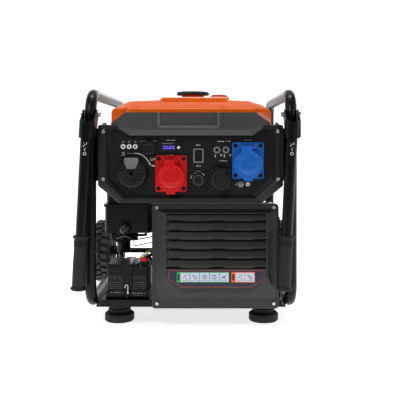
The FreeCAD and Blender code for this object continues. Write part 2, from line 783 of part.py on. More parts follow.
def tank_shroud():
    """The moulded beam below the tank's front, with a recess in its middle and two ribs each side."""
    front = D.panel_y - D.shroud_proud
    back = D.tank_front - 1
    body = prism("XZ", [shroud_outline(0)], front, back)
    body = pocket(body, "XZ", [shroud_outline(D.shroud_wall)], front + D.shroud_wall, back)
    low = D.shroud_low + 22
    body = pocket(body, "XZ", [rect(around(-3, 66), (low + 6, D.shroud_high + 1))], front, front + 3)
    panel_side = box(around(0, D.bezel_half), (D.panel_y - D.bezel_proud, back + 1), (D.shroud_low - 1, D.bezel_high))
    return cut(body, panel_side)


node("fuel_tank", fuel_tank())
node("fuel_cap", fuel_cap())
node("tank_shroud", tank_shroud())

# --------------------------------------------------------------------------- the control panel

PANEL_BACK = D.panel_y + D.sheet_thick + 1
LIP = 7


def panel_outline(grow):
    """The panel opening: a rectangle with its two lower corners cut, grown by grow."""
    x, low, high, c = D.panel_half + grow, D.panel_low - grow, D.panel_high + grow, D.panel_chamfer
    return [(-x, high), (-x, low + c), (-x + c, low), (x - c, low), (x, low + c), (x, high)]


def panel_bezel():
    """The moulded frame round the panel, with a lip in front of the panel's edge."""
    x, low, high = D.bezel_half, D.bezel_low, D.bezel_high
    cx, cz = D.bezel_chamfer_x, D.bezel_chamfer_z
    outline = [(-x, high), (-x, low + cz), (-x + cx, low), (x - cx, low), (x, low + cz), (x, high)]
    front = D.panel_y - D.bezel_proud
    body = prism("XZ", [outline], front, BEZEL_BACK)
    body = pocket(body, "XZ", [panel_outline(0)], front - 1, BEZEL_BACK + 1)
    return pocket(body, "XZ", [panel_outline(LIP)], D.panel_y, BEZEL_BACK + 1)


def bored(body, low, high, outlines=(), circles=()):
    """Cuts the openings for the panel's fittings."""
    return pocket(body, "XZ", outlines, low, high, circles)


CEE_PLACES = [(D.red_x, D.red_z), (D.blue_x, D.blue_z)]
TRANSFER_BODY = D.transfer_radius - 2
HOME_BODY = D.home_bore + 2


def control_panel():
    """The front plate with an opening behind each fitting."""
    circles = [(x, z - D.cee_drop, D.cee_collar - 1) for x, z in CEE_PLACES]
    circles += [(D.home_x, D.home_z, HOME_BODY), (D.transfer_x, D.transfer_z, TRANSFER_BODY)]
    circles += [(D.breaker_x + D.breaker_pitch * s, D.breaker_z, D.button_radius + 1) for s in (-0.5, 0.5)]
    circles += [(D.lamp_x + D.lamp_pitch * i, D.lamp_z, D.lamp_radius - 2) for i in (-1, 0, 1)]
    circles += [(D.ground_x, D.ground_z, 3)]
    outlines = [
        rect(around(D.usb_x, D.usb_half - 4), around(D.usb_z, D.usb_half - 4)),
        rect(around(D.display_x, D.display_half_width - 2), around(D.display_z, D.display_half_height - 2)),
        rect(around(D.rocker_x, D.rocker_half_width - 3), around(D.rocker_z, D.rocker_half_height - 3)),
    ]
    body = prism("XZ", [panel_outline(LIP - D.fit_gap)], D.panel_y, PANEL_BACK)
    body = bored(body, D.panel_y - 1, PANEL_BACK + 1, outlines)
    body = bored(body, D.panel_y - 1, PANEL_BACK + 1, (), circles)
    boss = rod("y", (D.dial_x, D.panel_y - 3, D.dial_z), D.dial_radius - 4, 3)
    spindle = rod("y", (D.dial_x, D.panel_y - 16, D.dial_z), 4, 16)
    return fuse(body, boss, spindle)


def hinge_ears(x, z, face, reach, half, pin):
    """Two ears on a socket's flange and the pin between them; the axis is reach in front of face."""
    height, inner = around(z, pin * 2.4), half * 0.48
    depth = (face - reach - pin * 2.2, face)
    ears = [box((x - half, x - inner), depth, height), box((x + inner, x + half), depth, height)]
    return [*ears, rod("x", (x - half, face - reach, z), pin, half * 2)]


def hinged_lid(plate, x, z, face, reach, half, pin, front, low, thick=0):
    """A lid plate joined to a barrel that turns on the pin of its ears."""
    inner = half * 0.48 - 0.4
    axis_y, barrel = face - reach, pin * 2.2
    arm = box(around(x, inner), (front, axis_y + thick), (low, z + pin))
    roll = rod("x", (x - inner, axis_y, z), barrel, inner * 2)
    hole = rod("x", (x - half, axis_y, z), pin + D.run_gap, half * 2)
    return cut(fuse(plate, arm, roll), hole)


def flanged_socket(x, z, half_x, half_z, drop, collar, bore, reach, depth, body_radius):
    """A socket: flange, collar and body behind the panel, with a deep round bore down to its floor."""
    flange_front = D.panel_y - 6
    flange = rounded(
        box(around(x, half_x), (flange_front, D.panel_y), around(z, half_z)), 6, lambda e: along(e, 1)
    )
    axis_z = z - drop
    tube = rod("y", (x, D.panel_y - reach, axis_z), collar, reach)
    inside = rod("y", (x, D.panel_y, axis_z), body_radius, depth)
    floor = D.panel_y + depth - 8
    front = D.panel_y - reach - 1
    hollow = rod("y", (x, front, axis_z), bore, floor - front)
    return fuse(flange, tube, inside), hollow, floor


HINGE_UP = D.cee_collar + 10
CEE_FACE = D.panel_y - 6
LID_BACK = D.panel_y - D.cee_reach - D.fit_gap


def cee_socket(x, z, contacts):
    """A panel socket with hinge ears over its collar, and the carrier of its contacts inside."""
    axis_z = z - D.cee_drop
    solid, hollow, floor = flanged_socket(
        x, z, D.cee_half_width, D.cee_half_height, D.cee_drop, D.cee_collar, D.cee_bore,
        D.cee_reach, 34, D.cee_collar - 1 - D.fit_gap,
    )
    face = D.panel_y - D.cee_reach + 6
    core = rod("y", (x, face, axis_z), D.cee_bore - 6, floor - face)
    holes = []
    for i in range(contacts):
        turn = math.radians(360 / contacts * i - 90)
        at = (x + 13 * math.cos(turn), face - 1, axis_z + 13 * math.sin(turn))
        holes.append(rod("y", at, 3.4 if i else 4.2, 24))
    ears = hinge_ears(x, axis_z + HINGE_UP, CEE_FACE, 12, 17, D.hinge_pin_radius)
    return group(fuse(cut(solid, hollow), *ears), cut(core, *holes))


def cee_lid(x, z):
    """A round domed lid with a thumb tab below and its hinge barrel above."""
    axis_z, front = z - D.cee_drop, LID_BACK - D.lid_thick
    r = D.cee_collar + 3
    disc = rod("y", (x, front, axis_z), r, D.lid_thick)
    dome = taper("y", (x, front - 2, axis_z), r - 8, r - 3, 2)
    tab = box(around(x, 8), (front, LID_BACK), (axis_z - r - 6, axis_z))
    hinge_z = axis_z + HINGE_UP
    low = axis_z + r - 4
    plate = fuse(disc, dome, tab)
    return hinged_lid(plate, x, hinge_z, CEE_FACE, 12, 17, D.hinge_pin_radius, front, low)


HOME_HINGE = D.home_half - 2
HOME_FACE = D.panel_y - 6
HOME_REACH = 14


def household_socket():
    """A splash-proof household socket with two contact holes in its well."""
    x, z = D.home_x, D.home_z
    solid, hollow, _ = flanged_socket(
        x, z, D.home_half, D.home_half, 0, D.home_bore + 2.5, D.home_bore, HOME_REACH, 28,
        HOME_BODY - D.fit_gap,
    )
    pins = [rod("y", (x + 9.5 * s, D.panel_y, z), 2.6, 26) for s in (-1, 1)]
    ears = hinge_ears(x, z + HOME_HINGE, HOME_FACE, HOME_REACH - 2, 12, 1.2)
    return fuse(cut(solid, hollow, *pins), *ears)


def household_lid():
    """A square flap with a raised bar down its middle."""
    x, z = D.home_x, D.home_z
    back = D.panel_y - HOME_REACH - D.fit_gap
    front = back - 4
    plate = rounded(box(around(x, 22), (front, back), (z - 24, z + 18)), 5, lambda e: along(e, 1))
    bar = box(around(x, 10), (front - 5, front), (z - 27, z + 14))
    return hinged_lid(
        fuse(plate, bar), x, z + HOME_HINGE, HOME_FACE, HOME_REACH - 2, 12, 1.2, front, z + 14, 3.7
    )


def usb_socket():
    """The charging socket's frame, with a well for two plugs and hinge ears above."""
    x, z, half = D.usb_x, D.usb_z, D.usb_half
    frame = box(around(x, half - 1), (D.panel_y - 3, D.panel_y), around(z, half - 1))
    body = box(around(x, half - 4.3), (D.panel_y, D.panel_y + 24), around(z, half - 4.3))
    slots = [box(around(x, 6.5), (D.panel_y - 4, D.panel_y + 14), around(z + 5 * s, 2.2)) for s in (-1, 1)]
    ears = hinge_ears(x, z + half + 2, D.panel_y, 5, 8, 0.9)
    bridge = box(around(x, 8), (D.panel_y - 3, D.panel_y), (z + half - 2, z + half + 4))
    return fuse(cut(fuse(frame, body), *slots), bridge, *ears)


def usb_lid():
    """A square dust cap over the charging socket."""
    x, z, half = D.usb_x, D.usb_z, D.usb_half
    back = D.panel_y - 3 - D.fit_gap
    front = back - 5
    plate = rounded(box(around(x, half), (front, back), (z - half, z + half - 3)), 5, lambda e: along(e, 1))
    return hinged_lid(plate, x, z + half + 2, D.panel_y, 5, 8, 0.9, front, z + half - 5)


def display_module():
    """The display's frame with its sunken glass and the seat of its button."""
    x, z = D.display_x, D.display_z
    front = D.panel_y - 3
    outer = box(around(x, D.display_half_width), (front, D.panel_y), around(z, D.display_half_height))
    body = box(
        around(x, D.display_half_width - 2.3), (D.panel_y, D.panel_y + 18), around(z, D.display_half_height - 2.3)
    )
    window = box((x - D.display_half_width + 4, x + 11), (front - 1, front + 1.2), around(z, 9))
    seat = rod("y", (DISPLAY_BUTTON_X, front - 1, z), D.button_radius + 0.3, 9)
    return cut(fuse(outer, body), window, seat)


DISPLAY_BUTTON_X = D.display_x + 18.6


def push_button(x, z, front, length):
    """A round button with a domed edge that slides along Y."""
    r = D.button_radius
    profile = [(front, 0), (front, r - 0.8), (front + 0.8, r), (front + length, r), (front + length, 0)]
    return turned("y", (x, z), profile)


def breaker(s):
    """A thermal breaker: nut in front, threaded neck and body behind the panel."""
    x, z = D.breaker_x + D.breaker_pitch * s, D.breaker_z
    front = D.panel_y - 6
    nut = rod("y", (x, front, z), D.breaker_radius, 6)
    rim_ring = rod("y", (x, D.panel_y - 2, z), D.breaker_radius + 1.8, 2)
    neck = rod("y", (x, D.panel_y, z), D.button_radius + 1, 12)
    case = box(around(x, 8), (PANEL_BACK + 2, PANEL_BACK + 26), around(z, 11))
    return cut(fuse(nut, rim_ring, neck, case), rod("y", (x, front - 1, z), D.button_radius + 0.3, 12))


def rocker_frame():
    """The frame of the mode rocker with its pivot pin."""
    x, z, w, h = D.rocker_x, D.rocker_z, D.rocker_half_width, D.rocker_half_height
    front = D.panel_y - 4
    outer = rounded(box(around(x, w), (front, D.panel_y), around(z, h)), 3, lambda e: along(e, 1))
    body = box(around(x, w - 3.3), (D.panel_y, D.panel_y + 22), around(z, h - 3.3))
    well = box(around(x, w - 4.3), (front - 1, D.panel_y + 16), around(z, h - 4.3))
    pin = rod("x", (x - w + 4, ROCKER_AXIS, z), 1.2, w * 2 - 8)
    return fuse(cut(fuse(outer, body), well), pin)


ROCKER_AXIS = D.panel_y + 3


def mode_rocker():
    """The rocker itself: a shallow V that tips about its pin."""
    x, z = D.rocker_x, D.rocker_z
    w, h = D.rocker_half_width - 4.8, D.rocker_half_height - 6.3
    front = D.panel_y - 6
    outline = [(front + 1.6, z), (front - 0.6, z - h), (D.panel_y + 4, z - h + 2), (D.panel_y + 8, z),
               (D.panel_y + 4, z + h - 2), (front - 0.6, z + h)]
    body = prism("YZ", [outline], x - w, x + w)
    return cut(body, rod("x", (x - w - 2, ROCKER_AXIS, z), 1.2 + D.run_gap, w * 2 + 4))


def transfer_socket():
    """The round socket of the transfer switch lead, with hinge ears above."""
    x, z, r = D.transfer_x, D.transfer_z, D.transfer_radius
    ring = rod("y", (x, D.panel_y - 5, z), r, 5)
    body = rod("y", (x, D.panel_y, z), TRANSFER_BODY - D.fit_gap, 24)
    well = rod("y", (x, D.panel_y - 6, z), r - 5, 22)
    core = rod("y", (x, D.panel_y - 2, z), 7, 24)
    bridge = box(around(x, 7), (D.panel_y - 5, D.panel_y), (z + r - 3, z + r + 5))
    ears = hinge_ears(x, z + r + 3, D.panel_y - 5, 3.5, 7, 0.9)
    return fuse(cut(fuse(ring, body), well), core, bridge, *ears)


def transfer_cap():
    """The round dust cap of the transfer socket, with a pull tab below."""
    x, z, r = D.transfer_x, D.transfer_z, D.transfer_radius
    back = D.panel_y - 5 - D.fit_gap
    front = back - 5
    disc = rod("y", (x, front, z), r - 1, 5)
    tab = box(around(x, 4), (front, back), (z - r - 5, z))
    return hinged_lid(fuse(disc, tab), x, z + r + 3, D.panel_y - 5, 3.5, 7, 0.9, front, z + r - 5)


def control_dial():
    """The fuel and start dial: a low drum with finger grooves and a raised hub, turning on its spindle."""
    x, z, r = D.dial_x, D.dial_z, D.dial_radius
    back = D.panel_y - 3 - D.fit_gap
    front = D.panel_y - D.dial_depth
    profile = [
        (back, 4 + D.run_gap), (back, r), (back - 4, r), (front + 6, r - 3), (front + 3, r - 7),
        (front + 3, 9), (front, 7.5), (front, 0), (D.panel_y - 17, 0), (D.panel_y - 17, 4 + D.run_gap),
    ]
    drum = turned("y", (x, z), profile)
    grooves = []
    for i in range(18):
        turn = math.radians(20 * i)
        at = (x + (r + 1) * math.cos(turn), front - 1, z + (r + 1) * math.sin(turn))
        grooves.append(rod("y", at, 3, 16))
    return cut(drum, *grooves)


def lamp(i):
    """An indicator lamp: a round lens with a stem through the panel."""
    x = D.lamp_x + D.lamp_pitch * i
    lens = turned("y", (x, D.lamp_z), [
        (D.panel_y - 3, 0), (D.panel_y - 3, D.lamp_radius - 1.5), (D.panel_y - 1.5, D.lamp_radius),
        (D.panel_y, D.lamp_radius), (D.panel_y, D.lamp_radius - 2), (D.panel_y + 8, D.lamp_radius - 2),
        (D.panel_y + 8, 0),
    ])
    return lens


def ground_terminal():
    """The earth terminal: a stud with a nut, a washer and a wing of bare metal."""
    x, z = D.ground_x, D.ground_z
    washer = rod("y", (x, D.panel_y - 1.5, z), 7.5, 1.5)
    nut = prism("XZ", [[(x + 6 * math.cos(math.radians(60 * i)), z + 6 * math.sin(math.radians(60 * i)))
                        for i in range(6)]], D.panel_y - 6.5, D.panel_y - 1.5)
    return fuse(washer, nut, rod("y", (x, D.panel_y - 11, z), 3, 30))


def screw(x, z, face, radius):
    """A pan-head screw seated on a face that looks along -Y."""
    head = turned("y", (x, z), [
        (face - 2.6, 0), (face - 2.6, radius - 1.6), (face - 1.4, radius - 0.3), (face, radius), (face, 0),
    ])
    recess = rod("y", (x, face - 3, z), radius * 0.42, 1.6)
    return cut(head, recess)


PANEL_SCREWS = [
    (-D.panel_half + 8, 455), (-2, 455), (D.panel_half - 12, 455),
    (-D.panel_half + 50, 329), (-3, 329), (D.panel_half - 53, 329),
]


def dark_screws():
    """The panel's screws and the four screws of each big socket's flange."""
    made = [screw(x, z, D.panel_y, D.screw_radius) for x, z in PANEL_SCREWS]
    for x, z in CEE_PLACES:
        for sx in (-1, 1):
            for sz in (-1, 1):
                made.append(screw(x + 30 * sx, z + 36 * sz - 1, CEE_FACE, 3))
    return group(*made)


BEZEL_FRONT = D.panel_y - D.bezel_proud


def bright_bolts():
    """The plated button-head bolts of the bezel, the cover and the tank's front."""
    made = []
    for s in (-1, 1):
        made += [screw(D.bezel_bolt_x * s, z, BEZEL_FRONT, D.bolt_radius) for z in BEZEL_BOLT_Z]
    made += [screw(x, z, D.cover_y, D.bolt_radius) for x, z in COVER_SCREWS]
    return group(*made)


def inverter_module():
    """The inverter's finned case, hung from the two cross bars, with its connector block in front."""
    case = box(around(0, 180), (D.inverter_front, D.inverter_back), (D.stringer_z - 90, D.stringer_z - 14))
    fins = [box(around(-168 + 14 * i, 1.5), (D.inverter_front, D.inverter_back), (D.stringer_z - 14, D.stringer_z))
            for i in range(25)]
    return fuse(case, *fins)


node("panel_bezel", panel_bezel())
node("control_panel", control_panel())
node("inverter_module", inverter_module())
node("panel_screws", dark_screws())
node("bright_bolts", bright_bolts())
node("indicator_lamps", group(*[lamp(i) for i in (-1, 0, 1)]))
node("usb_socket", usb_socket())
node("usb_lid", usb_lid())
node("display_module", display_module())
node("display_button", push_button(DISPLAY_BUTTON_X, D.display_z, D.panel_y - 5.5, 7))
node("control_dial", control_dial())
node("red_socket", cee_socket(D.red_x, D.red_z, 5))
node("red_lid", cee_lid(D.red_x, D.red_z))
node("blue_socket", cee_socket(D.blue_x, D.blue_z, 3))
node("blue_lid", cee_lid(D.blue_x, D.blue_z))
node("household_socket", household_socket())
node("household_lid", household_lid())
node("rocker_frame", rocker_frame())
node("mode_rocker", mode_rocker())
node("transfer_socket", transfer_socket())
node("transfer_cap", transfer_cap())
node("breakers", group(breaker(-0.5), breaker(0.5)))
for i, s in enumerate((-0.5, 0.5), start=1):
    node(f"breaker_button_{i}", push_button(D.breaker_x + D.breaker_pitch * s, D.breaker_z, D.panel_y - 9, 10))
node("ground_terminal", ground_terminal())

# ---------------------------------------------------------------------------- the louvred cover

COVER_BACK = D.cover_y + 17
CORNER_CUT = 38


def cover_outline(left, right, low, high, corner):
    """A rectangle with its two lower corners cut."""
    return [(left, high), (left, low + corner), (left + corner, low), (right - corner, low),
            (right, low + corner), (right, high)]


def raised_outline(inset, grow):
    """The raised middle of the cover, at its foot (inset 0) or its flat top (inset 1)."""
    left, right = D.cover_left + 11 + 22 * inset - grow, D.cover_right - 6 - 22 * inset + grow
    low, high = D.cover_low + 21 + 21 * inset - grow, D.cover_high - 16 - 6 * inset + grow
    return cover_outline(left, right, low, high, CORNER_CUT)


def raised_shell(front, back, grow):
    """A frustum between the raised middle's foot and its flat top."""
    body = doc.addObject("PartDesign::Body", "raised")
    foot_line = draw(body, "XZ", (0, 0, -back), [raised_outline(0, grow)])
    top_line = draw(body, "XZ", (0, 0, -front), [raised_outline(1, grow)])
    loft = body.newObject("PartDesign::AdditiveLoft", "frustum")
    loft.Profile = foot_line
    loft.Sections = [top_line]
    loft.Ruled = True
    body.Tip = loft
    return body


def louvre_slots():
    """Six slots across the raised middle, one louvre pitch apart."""
    left, right = D.cover_left + 43, D.cover_right - 38
    front = D.cover_y - D.cover_rise - 1
    made = []
    for i in range(6):
        top = D.louvre_top + 12 - D.louvre_pitch * i
        made.append(box((left, right), (front, D.cover_y + 5), (top - D.louvre_slot, top)))
    return made


def louvred_cover():
    """The moulded cover: a flat flange with skirts and a hollow raised middle with louvre slots."""
    x, z = (D.cover_left, D.cover_right), (D.cover_low, D.cover_high)
    w = D.cover_wall
    outer = rounded(box(x, (D.cover_y, COVER_BACK), z), 8, lambda e: along(e, 1))
    inner = box((x[0] + w, x[1] - w), (D.cover_y + w, COVER_BACK + 1), (z[0] + w, z[1] - w))
    front = D.cover_y - D.cover_rise
    shell = raised_shell(front, D.cover_y, 0)
    hollow = raised_shell(front + w, D.cover_y + w + 0.01, -w)
    through = [rod("y", (sx, D.cover_y - 1, sz), 3, 10) for sx, sz in COVER_SCREWS]
    return cut(fuse(cut(outer, inner), shell), hollow, *louvre_slots(), *through)


def cover_label():
    """The data plate in the lower part of the raised middle."""
    face = D.cover_y - D.cover_rise
    low = D.cover_low + 54
    outline = cover_outline(D.cover_left + 40, D.cover_right - 35, low, low + 42, 21)
    return prism("XZ", [outline], face - 0.8, face)


def posts():
    """The posts that carry the cover's corners."""
    length = -D.alternator_y + D.cover_y + D.cover_wall
    return [rod("y", (x, D.cover_y + D.cover_wall, z), D.post_radius, -length) for x, z in COVER_SCREWS]


def alternator_plate():
    """The upright plate that stands on the base and carries the alternator and the cover's posts."""
    y = D.alternator_y
    plate = box((D.cover_left + 5, D.cover_right - 5), (y, y + 5), (PLATE_TOP, D.cover_high - 6))
    wing = box((D.cover_right - 5, D.hoop_x - HALF_TUBE - 4), (y, y + 5), (PLATE_TOP, D.cover_high - 44))
    foot_strip = box((D.cover_left + 5, D.cover_right - 5), (y - 20, y), (PLATE_TOP, PLATE_TOP + 2.5))
    hole = rod("y", (D.engine_x, y - 1, D.engine_z), D.crank_radius + 3, 10)
    return cut(fuse(plate, wing, foot_strip, *posts()), hole)


def alternator_stator():
    """The stator: a laminated ring with coils round its teeth, on a hub bolted to the plate."""
    x, z, y = D.engine_x, D.engine_z, D.alternator_y
    core = rod("y", (x, y - 42, z), D.stator_radius - 16, 42)
    coils = []
    for i in range(18):
        turn = math.radians(20 * i)
        at = (x + (D.stator_radius - 12) * math.cos(turn), y - 40, z + (D.stator_radius - 12) * math.sin(turn))
        coils.append(rod("y", at, 7.5, 32))
    teeth = rod("y", (x, y - 34, z), D.stator_radius, 20)
    return cut(fuse(core, teeth, *coils), rod("y", (x, y - 50, z), D.crank_radius + 6, 60))


def rotor():
    """The crankshaft with the magnet bell round the stator and the fan in front of it."""
    x, z, y = D.engine_x, D.engine_z, D.alternator_y
    bell_front = y - 56
    gap = 1.2
    bell = turned("y", (x, z), [
        (bell_front, 0), (bell_front, D.rotor_radius - 4), (bell_front + 4, D.rotor_radius),
        (y - 8, D.rotor_radius), (y - 8, D.stator_radius + gap), (bell_front + 8, D.stator_radius + gap),
        (bell_front + 8, D.crank_radius), (D.engine_back - 4, D.crank_radius), (D.engine_back - 4, 0),
    ])
    nut = rod("y", (x, bell_front - 20, z), 14, 20)
    blades = []
    for i in range(16):
        turn = 360 / 16 * i
        blade = doc.addObject("Part::Box", "blade")
        bind(blade, "Length", D.rotor_radius - 28)
        bind(blade, "Width", 16)
        bind(blade, "Height", 2.4)
        rest = FreeCAD.Placement(Vector(22, -16, -1.2), FreeCAD.Rotation())
        spun = FreeCAD.Placement(
            Vector(x.value, bell_front.value, z.value), FreeCAD.Rotation(Vector(0, 1, 0), turn)
        )
        blade.Placement = spun.multiply(rest)
        blades.append(blade)
    return fuse(bell, nut, *blades)


node("louvred_cover", louvred_cover())
node("cover_label", cover_label())
node("alternator_plate", alternator_plate())
node("alternator_stator", alternator_stator())
node("rotor", rotor())

# ------------------------------------------------------------------------------- the engine

CASE = (D.engine_x - 88, D.engine_x + 84)
CYLINDER_Y = D.engine_front + 150
CYLINDER_Z = D.engine_z + 30
HEAD_X = CASE[0] - 62


def engine_block():
    """The crankcase on four rubber mounts, with its oil sump, starter motor and filler."""
    depth = (D.engine_front, D.engine_back)
    low = PLATE_TOP + 13
    case = rounded(box(CASE, depth, (low, D.engine_z + 72)), 12, lambda e: along(e, 1))
    mounts = []
    for x in (CASE[0] + 20, CASE[1] - 20):
        for y in (D.engine_front + 25, D.engine_back - 25):
            mounts.append(rod("z", (x, y, PLATE_TOP), 14, 13))
    starter = rod("y", (CASE[1] + 22, D.engine_front + 40, D.engine_z + 20), 24, 110)
    clamp = box((CASE[1] - 2, CASE[1] + 22), (D.engine_front + 60, D.engine_front + 84), around(D.engine_z + 20, 12))
    filler = taper("z", (CASE[1] - 20, D.engine_front + 150, D.engine_z + 71), 12, 9, 16)
    bore = rod("y", (D.engine_x, D.engine_front - 1, D.engine_z), D.crank_radius + D.run_gap, 300)
    bell_room = D.engine_back - D.engine_front - 4
    inner = rod("y", (D.engine_x, D.engine_front + 8, D.engine_z), D.crank_radius + 20, bell_room - 30)
    return fuse(cut(fuse(case, starter, clamp, filler), bore, inner), *mounts)


def cylinder():
    """The finned cylinder and head, the rocker cover, and the spark plug with its cap."""
    reach = CASE[0] - HEAD_X
    barrel = rod("x", (HEAD_X, CYLINDER_Y, CYLINDER_Z), 38, reach)
    fins = []
    for i in range(7):
        x = HEAD_X + 3 + 8.4 * i
        fins.append(box((x, x + 2.6), around(CYLINDER_Y, 50), around(CYLINDER_Z, 50)))
    cover = rounded(
        box((HEAD_X - 24, HEAD_X), around(CYLINDER_Y, 34), around(CYLINDER_Z, 36)), 8, lambda e: along(e, 0)
    )
    plug = rod("z", (HEAD_X + 8, CYLINDER_Y - 20, CYLINDER_Z + 48), 6, 26)
    cap = rod("z", (HEAD_X + 8, CYLINDER_Y - 20, CYLINDER_Z + 60), 9, 26)
    return fuse(barrel, *fins, cover, plug, cap)


def flywheel_cover():
    """The round cover on the engine's rear, with a ring of cooling holes."""
    y = D.engine_back
    profile = [(y, 0), (y, 70), (y + 34, 70), (y + 46, 60), (y + 46, 26), (y + 52, 20), (y + 52, 0)]
    cover = turned("y", (D.engine_x, D.engine_z), profile)
    holes = []
    for i in range(20):
        turn = math.radians(18 * i)
        for reach in (36, 50):
            at = (D.engine_x + reach * math.cos(turn), y + 38, D.engine_z + reach * math.sin(turn))
            holes.append(rod("y", at, 4, 10))
    return cut(cover, *holes)


MUFFLER_Z = D.engine_z + 82
MUFFLER_Y = D.engine_back + 150


def muffler():
    """The muffler drum behind the engine with its bracket, outlet and the exhaust pipe from the head."""
    x0, length = D.engine_x - 170, 250
    drum = rod("x", (x0, MUFFLER_Y, MUFFLER_Z), 54, length)
    seams = [rod("x", (x0 + i, MUFFLER_Y, MUFFLER_Z), 57, 5) for i in (0, 245)]
    top = D.engine_z + 72
    strap = box((D.engine_x - 20, D.engine_x + 30), (D.engine_back - 30, MUFFLER_Y - 50), (top, top + 4))
    outlet = rod("x", (x0 + length, MUFFLER_Y + 20, MUFFLER_Z - 10), 13, 26)
    start_y = CYLINDER_Y + 50
    pipe = rod("y", (HEAD_X + 26, start_y, CYLINDER_Z + 20), 13, MUFFLER_Y - 30 - start_y)
    elbow = rod("x", (HEAD_X + 13, MUFFLER_Y - 30, CYLINDER_Z + 20), 13, 40)
    return fuse(drum, *seams, strap, outlet, pipe, elbow)


node("engine_block", engine_block())
node("cylinder", cylinder())
node("flywheel_cover", flywheel_cover())
node("muffler", muffler())

# ------------------------------------------------------------------- air filter and carburettor

BOX_X = (D.airbox_left, D.airbox_left + D.airbox_width)
BOX_Y = (D.airbox_front, D.airbox_front + D.airbox_depth)
BOX_Z = (D.airbox_low, D.airbox_low + D.airbox_height)
KNOB_X = D.airbox_left + 53


def air_filter_box():
    """The air filter's case in two halves, with a duct to the carburettor and the knob's stem."""
    lower = rounded(box(BOX_X, BOX_Y, (BOX_Z[0], BOX_Z[1] - 30)), 12, lambda e: along(e, 2))
    seam = box((BOX_X[0] - 3, BOX_X[1] + 3), (BOX_Y[0] - 3, BOX_Y[1] + 3), (BOX_Z[1] - 34, BOX_Z[1] - 28))
    upper = rounded(box(
        (BOX_X[0] + 4, BOX_X[1] - 4), (BOX_Y[0] + 4, BOX_Y[1] - 4), (BOX_Z[1] - 30, BOX_Z[1])
    ), 12, lambda e: along(e, 2))
    stem = rod("y", (KNOB_X, D.airbox_front - 16, D.airbox_low + 12), 3, 20)
    arm = box((BOX_X[1] - 20, CASE[0]), (BOX_Y[1] - 40, BOX_Y[1] - 34), (BOX_Z[0] + 6, BOX_Z[0] + 20))
    return fuse(lower, rounded(seam, 10, lambda e: along(e, 2)), upper, stem, arm)


def air_filter_knob():
    """The wing knob that closes the air filter's case."""
    z, back = D.airbox_low + 12, D.airbox_front - 1
    hub = turned("y", (KNOB_X, z), [
        (back, 3 + D.run_gap), (back, 9), (back - 6, 13), (back - 14, 11), (back - 19, 5), (back - 19, 0),
        (back - 16, 0), (back - 16, 3 + D.run_gap),
    ])
    wing = box(around(KNOB_X, 2), (back - 24, back - 16.5), around(z, 14))
    return fuse(hub, wing)


def carburettor():
    """The carburettor body with its float bowl and choke arm, bolted under the air filter's case."""
    x, y = D.airbox_left + 38, D.airbox_front + 90
    top = D.airbox_low
    body = box(around(x, 18), around(y, 20), (top - 34, top))
    bowl = rod("z", (x, y, top - 62), 17, 28)
    barrel = rod("x", (x - 30, y, top - 18), 14, 66)
    arm = box(around(x - 8, 12), (y - 24, y - 20), (top - 30, top - 10))
    return fuse(body, bowl, barrel, arm)


def fuel_tap():
    """The tap under the tank and the hose held between it and the carburettor."""
    x, y = D.airbox_left + 60, D.airbox_front + 195
    body = rod("z", (x, y, D.tank_low - 34), 7, 34)
    lever = box((x - 5, x + 22), (y - 12, y - 7), (D.tank_low - 28, D.tank_low - 20))
    hose = bent_rod(HOSE_POINTS, HOSE_BENDS, 3.5)
    return fuse(body, lever, hose)


HOSE_POINTS = [
    (-158, -40, 428), (-158, -40, 384), (-150, -52, 330), (-140, -58, 262), (-128, -82, 200), (-122, -145, 204),
    (-144, -145, 204),
]
HOSE_BENDS = [60, 60, 30, 24, 9]

node("air_filter_box", air_filter_box())
node("air_filter_knob", air_filter_knob())
node("carburettor", carburettor())
node("fuel_tap", fuel_tap())

# ------------------------------------------------------------------------------- the battery

TRAY_FLOOR = PLATE_TOP + D.sheet_thick
BATTERY_X = (D.battery_left, D.battery_left + D.battery_width)
BATTERY_Y = (D.battery_front, D.battery_front + D.battery_length)
BATTERY_TOP = TRAY_FLOOR + D.battery_height


def battery():
    """A starter battery with a stepped lid and a terminal post at each end of its front edge."""
    shelf = BATTERY_TOP - 16
    case = rounded(box(BATTERY_X, BATTERY_Y, (TRAY_FLOOR, shelf)), 4, lambda e: along(e, 2))
    lid = rounded(box(
        (BATTERY_X[0] - 1, BATTERY_X[1] + 1), (BATTERY_Y[0] - 1, BATTERY_Y[1] + 1), (shelf, BATTERY_TOP - 6)
    ), 4, lambda e: along(e, 2))
    top = box((BATTERY_X[0] + 2, BATTERY_X[1] - 24), (BATTERY_Y[0] + 2, BATTERY_Y[1] - 2), (BATTERY_TOP - 6, BATTERY_TOP))
    posts_made = [
        box(around(BATTERY_X[1] - 11, 7), around(y, 7), (BATTERY_TOP - 6, BATTERY_TOP + 6)) for y in POST_Y
    ]
    return fuse(case, lid, top, *posts_made)


POST_Y = (BATTERY_Y[0] + 16, BATTERY_Y[1] - 16)
STRAP_X = D.battery_left + 49


